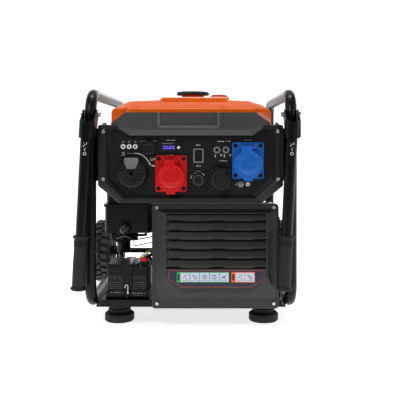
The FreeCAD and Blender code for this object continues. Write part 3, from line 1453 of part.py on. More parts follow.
def battery_tray():
    """The tray with its lips, and the strap that holds the battery down at the front."""
    t, gap = D.sheet_thick, 1.5
    x = (BATTERY_X[0] - gap - t, BATTERY_X[1] + gap + t)
    y = (BATTERY_Y[0] - gap - t, BATTERY_Y[1] + gap + t)
    lip = (TRAY_FLOOR, TRAY_FLOOR + 30)
    floor = box(x, y, (PLATE_TOP, TRAY_FLOOR))
    sides = [
        box(x, (y[0], y[0] + t), lip), box(x, (y[1] - t, y[1]), lip),
        box((x[0], x[0] + t), y, lip), box((x[1] - t, x[1]), y, lip),
    ]
    half, corner = D.strap_width / 2, 5
    front, back = y[0] - t, y[1]
    low, top = TRAY_FLOOR + 32, BATTERY_TOP
    tail = prism("XZ", [[
        (STRAP_X - half, top + t), (STRAP_X - half, low + corner), (STRAP_X - half + corner, low),
        (STRAP_X + half - corner, low), (STRAP_X + half, low + corner), (STRAP_X + half, top + t),
    ]], front, y[0])
    over = box(around(STRAP_X, half), (front, back + t), (top, top + t))
    drop = box(around(STRAP_X, half), (back, back + t), (PLATE_TOP, top + t))
    stud = rod("z", (STRAP_X, front - 3, TRAY_FLOOR + 20), 2.5, 22)
    lug = box(around(STRAP_X, 5), (front - 6, y[0]), (TRAY_FLOOR + 20, TRAY_FLOOR + 24))
    hook = box(around(STRAP_X, 5), (front - 6, front), (low + 4, low + 7))
    nut = rod("z", (STRAP_X, front - 3, TRAY_FLOOR + 14), 4.5, 6)
    return fuse(floor, *sides, tail, over, drop, stud, lug, hook, nut)


def battery_cables():
    """The terminal clamps, the boot on the positive one, and the two cables to starter and frame."""
    x, top = BATTERY_X[1] - 11, BATTERY_TOP + 6
    boot = rounded(box(around(x, 9), around(POST_Y[0], 12), (top, top + 9)), 3, lambda e: along(e, 2))
    clamp = box(around(x, 8), around(POST_Y[1], 9), (top, top + 5))
    positive = bent_rod(POSITIVE_POINTS, POSITIVE_BENDS, 4)
    negative = bent_rod(NEGATIVE_POINTS, NEGATIVE_BENDS, 4)
    return group(fuse(boot, positive), fuse(clamp, negative))


POSITIVE_POINTS = [(-116, -238, 159), (-100, -226, 165), (-98, -190, 172), (-60, -176, 172), (-27, -168, 172)]
POSITIVE_BENDS = [10, 14, 60]
NEGATIVE_POINTS = [(-116, -180.6, 157), (-116, -148, 155), (-104, -105, 120), (-88, -66, 70), (-84, -50, 56)]
NEGATIVE_BENDS = [22, 60, 40]

node("battery", battery())
node("battery_tray", battery_tray())
node("battery_cables", battery_cables())

# --------------------------------------------------------------------------------- the export

doc.recompute()
failed = [f"{o.Name} ({o.Label})" for o in doc.Objects if {"Invalid", "Error"} & set(o.State)]
if failed:
    raise RuntimeError("not computed: " + ", ".join(failed))
for name, thing in nodes.items():
    if thing.Shape.isNull() or not thing.Shape.isValid():
        raise RuntimeError(f"{name} has no valid shape")
os.makedirs("parts", exist_ok=True)
for name, thing in nodes.items():
    thing.Shape.exportStep(f"parts/{name}.step")
    size = thing.Shape.BoundBox
    print(f"{name:20s} {len(thing.Shape.Solids):3d} solids  {thing.Shape.Volume / 1000:9.1f} cm3  "
          f"x {size.XMin:7.1f} {size.XMax:7.1f}  y {size.YMin:7.1f} {size.YMax:7.1f}  "
          f"z {size.ZMin:6.1f} {size.ZMax:6.1f}")
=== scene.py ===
"""The looks of an open-frame inverter generator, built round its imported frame. Lengths are in millimetres
until a piece is cast, and colours are linear."""

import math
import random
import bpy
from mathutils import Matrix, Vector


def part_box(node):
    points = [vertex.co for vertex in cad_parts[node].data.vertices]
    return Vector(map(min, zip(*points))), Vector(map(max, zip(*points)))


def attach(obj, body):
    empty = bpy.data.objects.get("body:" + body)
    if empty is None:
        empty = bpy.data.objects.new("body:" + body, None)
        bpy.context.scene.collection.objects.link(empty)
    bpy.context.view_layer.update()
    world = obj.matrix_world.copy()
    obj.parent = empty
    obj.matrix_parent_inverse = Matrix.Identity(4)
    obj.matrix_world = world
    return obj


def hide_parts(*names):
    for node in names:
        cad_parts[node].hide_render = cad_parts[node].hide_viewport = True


bl_info = {
    "name": "Inverter generator looks",
    "version": (1, 0, 0),
    "blender": (4, 5, 0),
    "location": "View3D > Sidebar > Generator",
    "description": "Builds the paint, mouldings, rubber and fittings of an inverter generator",
    "category": "Object",
}

import bmesh
import bpy
from mathutils import Matrix, Vector

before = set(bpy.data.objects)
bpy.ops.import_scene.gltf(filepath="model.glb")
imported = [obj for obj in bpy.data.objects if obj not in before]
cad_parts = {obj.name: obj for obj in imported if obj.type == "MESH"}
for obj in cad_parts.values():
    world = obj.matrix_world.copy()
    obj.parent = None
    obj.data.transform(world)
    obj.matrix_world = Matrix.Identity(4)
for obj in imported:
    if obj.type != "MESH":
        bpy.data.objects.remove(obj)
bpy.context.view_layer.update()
MM = 0.001
FRAME = "frame"


def span(node):
    """A node's lowest and highest corner in millimetres."""
    low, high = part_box(node)
    return Vector(low) / MM, Vector(high) / MM


def middle(node):
    low, high = span(node)
    return (low + high) / 2


# ---------------------------------------------------------------------------------- settings


class GeneratorColours(bpy.types.PropertyGroup):
    """The colours that a user would change."""

    tank: bpy.props.FloatVectorProperty(
        name="Tank", description="Paint of the tank", subtype="COLOR", size=3, default=(0.8, 0.112, 0.001)
    )
    tubes: bpy.props.FloatVectorProperty(
        name="Tubes", description="Paint of the frame", subtype="COLOR", size=3,
        default=(0.0035, 0.0035, 0.004)
    )
    mouldings: bpy.props.FloatVectorProperty(
        name="Mouldings", description="Shroud and cover", subtype="COLOR", size=3,
        default=(0.0165, 0.0165, 0.017)
    )
    five_pole: bpy.props.FloatVectorProperty(
        name="Five-pole socket", description="Its plastic", subtype="COLOR", size=3,
        default=(0.62, 0.006, 0.008)
    )
    three_pole: bpy.props.FloatVectorProperty(
        name="Three-pole socket", description="Its plastic", subtype="COLOR", size=3,
        default=(0.012, 0.13, 0.52)
    )
    marks: bpy.props.FloatVectorProperty(
        name="Marks", description="Printed marks", subtype="COLOR", size=3, default=(0.72, 0.72, 0.7)
    )


class GeneratorSizes(bpy.types.PropertyGroup):
    """The counts and sizes that a user would change."""

    louvres: bpy.props.IntProperty(name="Louvres", description="Slats in the cover", default=6, min=3, max=9)
    lugs: bpy.props.IntProperty(
        name="Lugs", description="Tread lugs round a tyre", default=26, min=12, max=40
    )
    cap_ribs: bpy.props.IntProperty(
        name="Cap ribs", description="Ribs round the fuel cap", default=36, min=12, max=60
    )


# ----------------------------------------------------------------------------------- shading


class Wire:
    """A socket that takes part in arithmetic; each operation adds its node."""

    COLOUR_BLENDS = {"ADD": "ADD", "SUBTRACT": "SUBTRACT", "MULTIPLY": "MULTIPLY", "DIVIDE": "DIVIDE"}

    def __init__(self, tree, socket):
        self.tree, self.socket = tree, socket

    def join(self, operation, other, swap=False):
        a, b = (other, self) if swap else (self, other)
        kinds = {w.socket.type for w in (a, b) if isinstance(w, Wire)}
        if "RGBA" in kinds:
            blend = {"data_type": "RGBA", "blend_type": self.COLOUR_BLENDS[operation]}
            return self.tree.node("Mix", blend, {0: 1.0, 6: grey(a), 7: grey(b)}, 2)
        if "VECTOR" in kinds:
            return self.tree.node("VectorMath", {"operation": operation}, {0: triple(a), 1: triple(b)})
        return self.tree.node("Math", {"operation": operation}, {0: a, 1: b})

    def __add__(self, other):
        return self.join("ADD", other)

    def __radd__(self, other):
        return self.join("ADD", other, swap=True)

    def __sub__(self, other):
        return self.join("SUBTRACT", other)

    def __rsub__(self, other):
        return self.join("SUBTRACT", other, swap=True)

    def __mul__(self, other):
        return self.join("MULTIPLY", other)

    def __rmul__(self, other):
        return self.join("MULTIPLY", other, swap=True)

    def __truediv__(self, other):
        return self.join("DIVIDE", other)

    def step(self, low, high):
        """0 below low, 1 above high and smooth between."""
        settings = {"interpolation_type": "SMOOTHSTEP"}
        return self.tree.node("MapRange", settings, {"Value": self, "From Min": low, "From Max": high})

    def blend(self, first, second):
        """The first colour where this is 0, the second where it is 1."""
        return self.tree.node(
            "Mix", {"data_type": "RGBA"}, {0: self, 6: grey(first), 7: grey(second)}, 2
        )


def grey(value):
    """A wire as it is, or a number or a triple as an opaque colour."""
    if isinstance(value, Wire):
        return value
    if isinstance(value, (int, float)):
        return (value, value, value, 1.0)
    return (*tuple(value)[:3], 1.0)


def triple(value):
    """A wire or a vector as it is, or a number as a vector of three equal parts."""
    return (value, value, value) if isinstance(value, (int, float)) else value


class Finish:
    """A procedural material under construction."""

    def __init__(self, name):
        self.material = bpy.data.materials.new(name)
        self.material.use_nodes = True
        self.nodes = self.material.node_tree.nodes
        self.links = self.material.node_tree.links
        self.nodes.clear()

    def node(self, kind, settings=None, sockets=None, out=0):
        """Adds a node: its type, its settings, the values or links of its sockets, and the output to use."""
        made = self.nodes.new("ShaderNode" + kind)
        for key, value in (settings or {}).items():
            if key == "stops":
                while len(made.color_ramp.elements) < len(value):
                    made.color_ramp.elements.new(0.5)
                for element, (place, colour) in zip(made.color_ramp.elements, value):
                    element.position, element.color = place, grey(colour)
            else:
                setattr(made, key, value)
        for key, value in (sockets or {}).items():
            if isinstance(value, Wire):
                self.links.new(value.socket, made.inputs[key])
            else:
                made.inputs[key].default_value = value
        return Wire(self, made.outputs[out])

    def place(self):
        """Where a point is on its own piece, in metres."""
        return self.node("TexCoord", out="Object")

    def noise(self, size, detail=3.0, at=None, stretch=None):
        """Soft random mottling with features about size millimetres across."""
        at = at or self.place()
        if stretch:
            at = at * Vector(stretch)
        sockets = {"Vector": at, "Scale": 1 / (size * MM), "Detail": detail, "Roughness": 0.55}
        return self.node("TexNoise", sockets=sockets)

    def cells(self, size):
        """Rounded grains about size millimetres across."""
        sockets = {"Vector": self.place(), "Scale": 1 / (size * MM)}
        return self.node("TexVoronoi", {"feature": "F1"}, sockets)

    def up(self):
        """How far the surface faces upwards, from -1 to 1."""
        normal = self.node("NewGeometry", out="Normal")
        return self.node("SeparateXYZ", sockets={"Vector": normal}, out="Z")

    def along(self, letter):
        return self.node("SeparateXYZ", sockets={"Vector": self.place()}, out=letter)

    def close(self, colour, rough, metal=0.0, coat=0.0, height=None, depth=0.1, **constants):
        """Joins everything in a principled shader; depth is the bump's in millimetres."""
        shader = self.nodes.new("ShaderNodeBsdfPrincipled")
        output = self.nodes.new("ShaderNodeOutputMaterial")
        self.links.new(shader.outputs[0], output.inputs[0])
        sockets = {"Base Color": grey(colour), "Roughness": rough, "Metallic": metal, "Coat Weight": coat}
        if height is not None:
            bump = {"Height": height, "Strength": 1.0, "Distance": depth * MM}
            sockets["Normal"] = self.node("Bump", sockets=bump)
        sockets.update(constants)
        for key, value in sockets.items():
            if isinstance(value, Wire):
                self.links.new(value.socket, shader.inputs[key])
            else:
                shader.inputs[key].default_value = value
        return self.material


def colours():
    return bpy.context.scene.generator_colours


def sizes():
    return bpy.context.scene.generator_sizes


def tube_paint():
    """Gloss black powder coat: faint orange peel, patchy sheen and a little settled dust."""
    f = Finish("tube_paint")
    mottle, dust = f.noise(38, 5), f.noise(3.5, 6).step(0.52, 0.78)
    dusty = dust * f.up().step(0.2, 0.95) * 0.22
    colour = dusty.blend(
        f.node("Mix", {"data_type": "RGBA"}, {0: mottle, 6: grey(colours().tubes), 7: grey(0.008)}, 2), 0.06
    )
    rough = 0.24 + mottle * 0.12 + dusty * 0.9 + f.noise(0.7, 2) * 0.05
    constants = {"Coat Roughness": 0.1, "Specular IOR Level": 0.12}
    return f.close(colour, rough, coat=0.1, height=f.noise(1.6, 2), depth=0.035, **constants)


def moulding(name, colour, rough=0.46, grain=0.55, shine=0.45):
    """Injection-moulded plastic: a fine leather-like grain, flow marks and rubbed patches."""
    f = Finish(name)
    fine, broad = f.cells(grain), f.noise(45, 4)
    rubbed = f.noise(9, 5).step(0.55, 0.8)
    tone = f.node(
        "Mix", {"data_type": "RGBA"},
        {0: broad, 6: grey([c * 0.8 for c in colour]), 7: grey([c * 1.25 for c in colour])}, 2
    )
    dust = f.noise(2.2, 6).step(0.56, 0.85) * f.up().step(0.1, 0.9) * 0.16
    height = fine * 0.7 + f.noise(0.25, 2) * 0.5
    rough_map = rough + (broad - 0.5) * 0.14 - rubbed * 0.07 + dust * 0.6
    return f.close(
        dust.blend(tone, 0.09), rough_map, height=height, depth=0.045, **{"Specular IOR Level": shine}
    )


def gloss_plastic(name, colour):
    """Bright gloss plastic with slight ripples, fine scratches and a faint change of tone."""
    f = Finish(name)
    broad = f.noise(18, 3)
    scratches = f.noise(0.6, 4, at=f.place(), stretch=(1, 1, 9)).step(0.62, 0.74)
    tone = f.node(
        "Mix", {"data_type": "RGBA"},
        {0: broad, 6: grey([c * 0.88 for c in colour]), 7: grey([min(1, c * 1.1) for c in colour])}, 2
    )
    rough = 0.3 + broad * 0.1 + scratches * 0.12
    return f.close(
        tone, rough, height=f.noise(1.4, 3), depth=0.03,
        **{"Specular IOR Level": 0.36, "Subsurface Weight": 0.03, "Subsurface Radius": (0.002, 0.001, 0.001)},
    )


def tank_paint():
    """Orange enamel under clear lacquer: orange peel, soft flow and a trace of dust on top."""
    f = Finish("tank_paint")
    flow = f.noise(60, 4)
    base = colours().tank
    tone = f.node(
        "Mix", {"data_type": "RGBA"},
        {0: flow, 6: grey([c * 0.9 for c in base]), 7: grey([min(1.0, c * 1.08) for c in base])}, 2
    )
    dust = f.noise(1.8, 6).step(0.58, 0.85) * f.up().step(0.6, 1.0) * 0.07
    rough = 0.24 + flow * 0.08 + dust
    return f.close(
        dust.blend(tone, (0.6, 0.3, 0.16)), rough, coat=0.3, height=f.noise(2.6, 2), depth=0.02,
        **{"Coat Roughness": 0.04, "Specular IOR Level": 0.1},
    )


def rubber(name="rubber", shade=0.012, grain=0.9):
    """Matt rubber with a fine sandy surface, chalky where it is rubbed."""
    f = Finish(name)
    chalk = f.noise(7, 6).step(0.5, 0.85)
    tone = f.node("Mix", {"data_type": "RGBA"}, {0: chalk, 6: grey(shade), 7: grey(shade * 2.1)}, 2)
    height = f.cells(grain) * 0.6 + f.noise(0.4, 3) * 0.6
    return f.close(tone, 0.66 + chalk * 0.16, height=height, depth=0.09, **{"Specular IOR Level": 0.36})


def tread_rubber():
    """Tyre rubber: dry and dusty between the lugs, worn smoother on their tops."""
    f = Finish("tread_rubber")
    high = span("tyre_left")[1]
    away = f.node(
        "VectorMath", {"operation": "SUBTRACT"},
        {0: f.place(), 1: (0, middle("tyre_left").y * MM, high.z / 2 * MM)}
    )
    flat = f.node("VectorMath", {"operation": "MULTIPLY"}, {0: away, 1: (0, 1, 1)})
    reach = f.node("VectorMath", {"operation": "LENGTH"}, {0: flat}, "Value")
    top = reach.step((high.z / 2 - 3.5) * MM, (high.z / 2 - 0.8) * MM)
    dust = f.noise(5, 6).step(0.42, 0.8)
    tone = (dust * (1 - top * 0.7)).blend(0.011, 0.045)
    return f.close(tone, 0.74 - top * 0.16, height=f.noise(0.6, 5), depth=0.16)


def zinc(name="zinc", tint=(0.72, 0.73, 0.76), rough=0.24):
    """Bright zinc plate: blotchy, faintly brushed and a little dull in places."""
    f = Finish(name)
    blotch = f.noise(4, 5)
    tone = f.node(
        "Mix", {"data_type": "RGBA"}, {0: blotch, 6: grey([c * 0.72 for c in tint]), 7: grey(tint)}, 2
    )
    height = f.noise(0.3, 4, stretch=(1, 8, 1))
    return f.close(tone, rough + blotch * 0.16, metal=1.0, height=height, depth=0.02)


def cast_metal(name="cast_metal", tint=(0.34, 0.345, 0.35)):
    """Sand-cast aluminium: pebbled, darker in random patches, with an oily film here and there."""
    f = Finish(name)
    oil, pebble = f.noise(26, 6).step(0.52, 0.72), f.cells(1.3)
    tone = f.node(
        "Mix", {"data_type": "RGBA"}, {0: f.noise(5, 6), 6: grey([c * 0.55 for c in tint]), 7: grey(tint)}, 2
    )
    return f.close(
        oil.blend(tone, (0.09, 0.08, 0.065)), 0.52 - oil * 0.2, metal=0.85, height=pebble + f.noise(0.5, 4),
        depth=0.18
    )


def heated_steel():
    """Exhaust steel: straw and blue heat bands over a dull, sooty sheet."""
    f = Finish("heated_steel")
    band = f.along("X") * 4.0 + f.noise(30, 4) * 0.9
    tint = f.node("ValToRGB", {"stops": [
        (0.0, (0.34, 0.33, 0.31)), (0.35, (0.36, 0.27, 0.16)), (0.6, (0.22, 0.16, 0.2)),
        (1.0, (0.3, 0.31, 0.33)),
    ]}, {"Fac": band})
    soot = f.noise(14, 6).step(0.45, 0.8)
    return f.close(soot.blend(tint, 0.03), 0.34 + soot * 0.35, metal=0.9, height=f.noise(1.1, 5), depth=0.08)


def windings():
    """Varnished copper coils and dark laminations."""
    f = Finish("windings")
    strands = f.node(
        "TexWave", {"bands_direction": "Z"}, {"Vector": f.place(), "Scale": 420.0, "Distortion": 1.4}
    )
    shade = strands.blend((0.16, 0.045, 0.015), (0.62, 0.24, 0.09))
    return f.close(shade, 0.34 + strands * 0.1, metal=0.8, height=strands, depth=0.2, coat=0.3)


def print_ink(name, colour, glow=0.0):
    """Screen-printed ink: slightly uneven, with pinholes at its edges."""
    f = Finish(name)
    wear = f.noise(0.5, 4).step(0.7, 0.9) * 0.35
    tone = wear.blend(colour, [c * 0.45 for c in tuple(colour)])
    extra = {"Emission Color": (*tuple(colour)[:3], 1.0), "Emission Strength": glow} if glow else {}
    return f.close(tone, 0.46 + wear, height=f.noise(0.3, 3), depth=0.01, **extra)


def film(name, colour):
    """The glossy film of a label, with faint ripples."""
    f = Finish(name)
    ripple = f.noise(12, 3)
    tone = ripple.blend([c * 0.85 for c in colour], [c * 1.2 for c in colour])
    return f.close(tone, 0.3 + ripple * 0.12, height=ripple + f.noise(0.4, 2) * 0.2, depth=0.05)


def striped_wire():
    """Yellow insulation with green stripes that run round it in a slow spiral."""
    f = Finish("striped_wire")
    x, z = f.along("X"), f.along("Z")
    turn = f.node("Math", {"operation": "SINE"}, {0: (x + z) * 900.0})
    stripe = turn.step(-0.2, 0.2)
    return f.close(
        stripe.blend((0.62, 0.5, 0.02), (0.02, 0.26, 0.05)), 0.36 + f.noise(2, 3) * 0.1,
        height=f.noise(0.8, 3), depth=0.03
    )


def pale_floor():
    """A plain pale studio floor that grows darker well in front of the machine."""
    f = Finish("pale_floor")
    far = f.along("Y").step(-2.0, -0.9)
    lit = {"Emission Color": far.blend(0.02, 1.0), "Emission Strength": 0.75}
    tone = (far * (0.9 + f.noise(900, 2) * 0.1)).blend(0.12, 0.86)
    return f.close(tone, 0.62 + f.noise(200, 2) * 0.08, **lit)


FINISHES = {
    "tubes": tube_paint,
    "tank": tank_paint,
    "shroud": lambda: moulding("shroud_moulding", (0.047, 0.047, 0.048), 0.5, 0.5),
    "cover": lambda: moulding("cover_moulding", colours().mouldings, 0.4, 0.6),
    "bezel": lambda: moulding("bezel_moulding", (0.0125, 0.0125, 0.013), 0.4, 0.5),
    "plate": lambda: moulding("panel_plate", (0.0068, 0.0068, 0.007), 0.55, 0.35, 0.24),
    "fitting": lambda: moulding("fitting_plastic", (0.007, 0.007, 0.0075), 0.34, 0.7),
    # near-black plastic; on the bezel's inner step, the louvre gaps and the cover's top groove it is painted
    # shade
    "dark": lambda: moulding("dark_plastic_and_painted_shade", (0.004, 0.004, 0.0045), 0.5, 0.8, 0.3),
    "air_case": lambda: moulding("air_filter_case", (0.0035, 0.0035, 0.0038), 0.38, 0.6, 0.26),
    "insert": lambda: moulding("grey_insert", (0.16, 0.165, 0.17), 0.42, 0.5),
    # pale grey moulding: the breakers' own grey, and on the shroud's rim a grey lightened as painted highlight
    # along the edge
    "grey_and_painted_highlight": lambda: moulding("grey_moulding_and_painted_highlight", (0.1, 0.101, 0.103), 0.42, 0.5),
    "battery": lambda: moulding("battery_case", (0.0065, 0.0065, 0.007), 0.5, 0.9, 0.24),
    "red": lambda: gloss_plastic("red_plastic", colours().five_pole),
    "blue": lambda: gloss_plastic("blue_plastic", colours().three_pole),
    "boot": lambda: gloss_plastic("terminal_boot", (0.62, 0.015, 0.01)),
    "rubber": rubber,
    "grip": lambda: rubber("grip_rubber", 0.009, 0.7),
    "tread": tread_rubber,
    "zinc": zinc,
    "worn_steel": lambda: zinc("worn_steel", (0.4, 0.4, 0.41), 0.36),
    "cast": cast_metal,
    "dark_metal": lambda: cast_metal("dark_metal", (0.035, 0.035, 0.037)),
    "sooty": lambda: cast_metal("sooty_metal", (0.012, 0.012, 0.013)),
    "heated": heated_steel,
    "windings": windings,
    "marks": lambda: print_ink("white_print", colours().marks),
    "grey_marks": lambda: print_ink("grey_print", (0.3, 0.3, 0.3)),
    "dim_marks": lambda: print_ink("dim_print", (0.11, 0.11, 0.11)),
    "green": lambda: print_ink("green_print", (0.012, 0.36, 0.09)),
    "orange": lambda: print_ink("orange_print", (0.85, 0.12, 0.01)),
    "copper_line": lambda: print_ink("outline_print", (0.36, 0.065, 0.018)),
    "tile": lambda: print_ink("tile_print", (0.58, 0.64, 0.78)),
    "digits": lambda: print_ink("lit_digits", (0.16, 0.1, 0.75), 1.6),
    "glass": lambda: film("display_glass", (0.012, 0.009, 0.05)),
    "label": lambda: film("label_film", (0.008, 0.009, 0.03)),
    "lens": lambda: print_ink("lens", (0.82, 0.82, 0.8)),
    "wire": striped_wire,
    "floor": pale_floor,
}
MADE = {}


def finish(name):
    """The finish of that name, made the first time it is asked for."""
    if name not in MADE:
        MADE[name] = FINISHES[name]()
    return MADE[name]


# ----------------------------------------------------------------------------- mesh building

PLANES = {
    "XY": lambda u, v, w: (u, v, w),
    "XZ": lambda u, v, w: (u, w, v),
}


def turn_corner(before, corner, after, radius, steps):
    """Points of an arc of that radius in a corner."""
    back, onward = (before - corner).normalized(), (after - corner).normalized()
    half = back.angle(onward) / 2
    trim = min(radius / math.tan(half), (before - corner).length * 0.49, (after - corner).length * 0.49)
    radius = trim * math.tan(half)
    centre = corner + (back + onward).normalized() * (radius / math.sin(half))
    start = corner + back * trim - centre
    end = corner + onward * trim - centre
    sweep = start.angle_signed(end)
    rotate = [Matrix.Rotation(-sweep * i / steps, 2) @ start for i in range(steps + 1)]
    return [centre + r for r in rotate]


def rounded(corners, radius, steps=4):
    """A closed outline with rounded corners; radius is one number or one for each corner."""
    points = [Vector(c) for c in corners]
    radii = radius if hasattr(radius, "__len__") else [radius] * len(points)
    made = []
    for i, corner in enumerate(points):
        made += turn_corner(points[i - 1], corner, points[(i + 1) % len(points)], radii[i], steps)
    return made


def rectangle(left, right, low, high):
    return [(left, low), (right, low), (right, high), (left, high)]


def grown(outline, amount):
    """A closed outline moved outwards along its corners' bisectors."""
    area = sum(a.x * b.y - b.x * a.y for a, b in zip(outline, outline[1:] + outline[:1]))
    side = 1 if area > 0 else -1
    made = []
    for i, here in enumerate(outline):
        before, after = outline[i - 1], outline[(i + 1) % len(outline)]
        first, second = (here - before).normalized(), (after - here).normalized()
        normal_a = Vector((first.y, -first.x)) * side
        normal_b = Vector((second.y, -second.x)) * side
        mid = normal_a + normal_b
        if mid.length < 1e-6:
            mid = normal_a
        mid.normalize()
        made.append(here + mid * (amount / max(0.35, mid.dot(normal_a))))
    return made


def inset(corners, radius, amount):
    """A rounded outline moved inwards by an amount, with its corners kept clean."""
    moved = grown([Vector(c) for c in corners], -amount)
    return rounded(moved, [max(0.4, r - amount) for r in radius])


class Mould:
    """Collects the rings and faces of one piece in millimetres, then casts it as a mesh."""

    def __init__(self):
        self.points, self.faces, self.marks, self.names = [], [], [], []

    def slot(self, name):
        if name not in self.names:
            self.names.append(name)
        return self.names.index(name)

    def add(self, points):
        start = len(self.points)
        self.points += [tuple(p) for p in points]
        return list(range(start, len(self.points)))

    def face(self, corners, name):
        self.faces.append(corners)
        self.marks.append(self.slot(name))

    def skin(self, rings, name, caps=(True, True)):
        """Walls between rings of equal count, with the end caps that are asked for."""
        held = [self.add(ring) for ring in rings]
        for low, high in zip(held, held[1:]):
            count = len(low)
            for i in range(count):
                after = (i + 1) % count
                self.face([low[i], low[after], high[after], high[i]], name)
        if caps[0]:
            self.face(held[0][::-1], name)
        if caps[1]:
            self.face(held[-1], name)

    def loft(self, stations, plane, name, caps=(True, True)):
        """Skins outlines, each with its height across the plane."""
        to = PLANES[plane]
        rings = [[to(p[0], p[1], height) for p in outline] for outline, height in stations]
        self.skin(rings, name, caps)

    def slab(self, outline, plane, low, high, name, edge=0.6):
        """A plate with softened edges on both faces."""
        inner = grown(outline, -edge)
        step = edge if high > low else -edge
        stations = [(inner, low), (outline, low + step), (outline, high - step), (inner, high)]
        self.loft(stations, plane, name)

    def lathe(self, axis, centre, profile, name, steps=48, wave=None):
        """Turns a profile of (along, radius) pairs; wave(turn, along) may scale the radius."""
        rings = []
        for along, radius in profile:
            ring = []
            for i in range(steps):
                turn = math.tau * i / steps
                reach = radius * (wave(turn, along) if wave else 1.0)
                u, v = centre[0] + reach * math.cos(turn), centre[1] + reach * math.sin(turn)
                ring.append({"x": (along, u, v), "y": (u, along, v), "z": (u, v, along)}[axis])
            rings.append(ring)
        closed = profile[0][1] > 1e-6, profile[-1][1] > 1e-6
        self.skin(rings, name, closed)

    def pipe(self, path, radius, name, steps=16):
        """A round bar along a path of points."""
        points = [Vector(p) for p in path]
        rings = []
        side = None
        for i, here in enumerate(points):
            ahead = points[min(i + 1, len(points) - 1)] - points[max(i - 1, 0)]
            ahead.normalize()
            if side is None:
                seed = Vector((0, 0, 1)) if abs(ahead.z) < 0.9 else Vector((1, 0, 0))
                side = ahead.cross(seed).normalized()
            side = (side - ahead * side.dot(ahead)).normalized()
            lift = ahead.cross(side)
            width = radius[i] if hasattr(radius, "__len__") else radius
            turns = [math.tau * k / steps for k in range(steps)]
            rings.append([here + (side * math.cos(a) + lift * math.sin(a)) * width for a in turns])
        self.skin(rings, name)

    def cast(self, name, body, slot, stands_for=(), sharp=34.0, edge=None, lean=None):
        """Makes the mesh object, softens its edges and sets it riding."""
        mesh = bpy.data.meshes.new(name)
        mesh.from_pydata([[c * MM for c in p] for p in self.points], [], self.faces)
        for label in self.names:
            mesh.materials.append(finish(label))
        mesh.polygons.foreach_set("material_index", self.marks)
        shape = bmesh.new()
        shape.from_mesh(mesh)
        bmesh.ops.remove_doubles(shape, verts=shape.verts, dist=1e-6)
        bmesh.ops.dissolve_degenerate(shape, dist=1e-7, edges=shape.edges)
        bmesh.ops.recalc_face_normals(shape, faces=shape.faces)
        for f in shape.faces:
            f.smooth = True
        limit = math.radians(sharp)
        for e in shape.edges:
            e.smooth = not (len(e.link_faces) == 2 and e.calc_face_angle(0) > limit)
        shape.to_mesh(mesh)
        shape.free()
        made = bpy.data.objects.new(name, mesh)
        bpy.context.scene.collection.objects.link(made)
        if lean:
            mesh.transform(lean)
        if edge:
            bevel = made.modifiers.new("edge", "BEVEL")
            bevel.width, bevel.segments, bevel.limit_method = edge * MM, 2, "ANGLE"
            bevel.angle_limit = limit
            made.modifiers.new("normals", "WEIGHTED_NORMAL")
        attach(made, body)
        if stands_for:
            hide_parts(*stands_for)
        return made


def dress(node, name, edge=0.6):
    """Gives a CAD node its finish and softens its edges, leaving its shape as it is."""
    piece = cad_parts[node]
    mesh = piece.data
    mesh.materials.clear()
    mesh.materials.append(finish(name))
    mesh.polygons.foreach_set("material_index", [0] * len(mesh.polygons))
    mesh.polygons.foreach_set("use_smooth", [True] * len(mesh.polygons))
    if "custom_normal" in mesh.attributes:
        mesh.attributes.remove(mesh.attributes["custom_normal"])
    weld = piece.modifiers.new("weld", "WELD")
    weld.merge_threshold = 1e-5
    bevel = piece.modifiers.new("edge", "BEVEL")
    bevel.width, bevel.segments, bevel.limit_method = edge * MM, 2, "ANGLE"
    bevel.angle_limit = math.radians(38)
    piece.modifiers.new("normals", "WEIGHTED_NORMAL")
    return piece


# ------------------------------------------------------------------------------ small shapes


def stroke(path, width):
    """Quads that draw a line of that width along flat points."""
    points = [Vector(p) for p in path]
    sides = []
    for i, here in enumerate(points):
        ahead = (points[min(i + 1, len(points) - 1)] - points[max(i - 1, 0)]).normalized()
        across = Vector((-ahead.y, ahead.x)) * (width / 2)
        sides.append((here - across, here + across))
    return [[a[0], b[0], b[1], a[1]] for a, b in zip(sides, sides[1:])]


def arc(u, v, radius, start, end, steps=24):
    turns = [math.radians(start + (end - start) * i / steps) for i in range(steps + 1)]
    return [(u + radius * math.cos(a), v + radius * math.sin(a)) for a in turns]


def ring_mark(u, v, radius, width):
    return stroke(arc(u, v, radius, 0, 360, 32), width)


def print_marks(name, body, slot, ink, quads, at, **settings):
    """Casts flat marks; at() takes a mark's two coordinates to a place in millimetres."""
    mould = Mould()
    for quad in quads:
        mould.face(mould.add([at(*p) for p in quad]), ink)
    return mould.cast(name, body, slot, **settings)


def on_face(y):
    return lambda x, z: (x, y, z)


def lettering(left, right, z, height, rng, gap=1.1):
    """A row of small bars of uneven width, in place of words."""
    made, x = [], left
    while x < right:
        width = rng.uniform(0.8, 2.6)
        lift = rng.uniform(0.7, 1.0) * height
        made.append(rectangle(x, min(x + width, right), z - height / 2, z - height / 2 + lift))
        x += width + gap * (3 if rng.random() < 0.16 else 0.75)
    return made


def smooth_step(x, low, high):
    t = min(1.0, max(0.0, (x - low) / (high - low)))
    return t * t * (3 - 2 * t)


def table(x, rows):
    """Straight lines between the (x, value) rows."""
    if x <= rows[0][0]:
        return rows[0][1]
    for (x0, v0), (x1, v1) in zip(rows, rows[1:]):
        if x <= x1:
            return v0 + (v1 - v0) * (x - x0) / (x1 - x0)
    return rows[-1][1]


def soft_least(a, b, blend):
    """The lesser of two values, with the corner between them rounded off."""
    h = max(0.0, blend - abs(a - b)) / blend
    return min(a, b) - h * h * blend * 0.25


# --------------------------------------------------------------------------------- frame


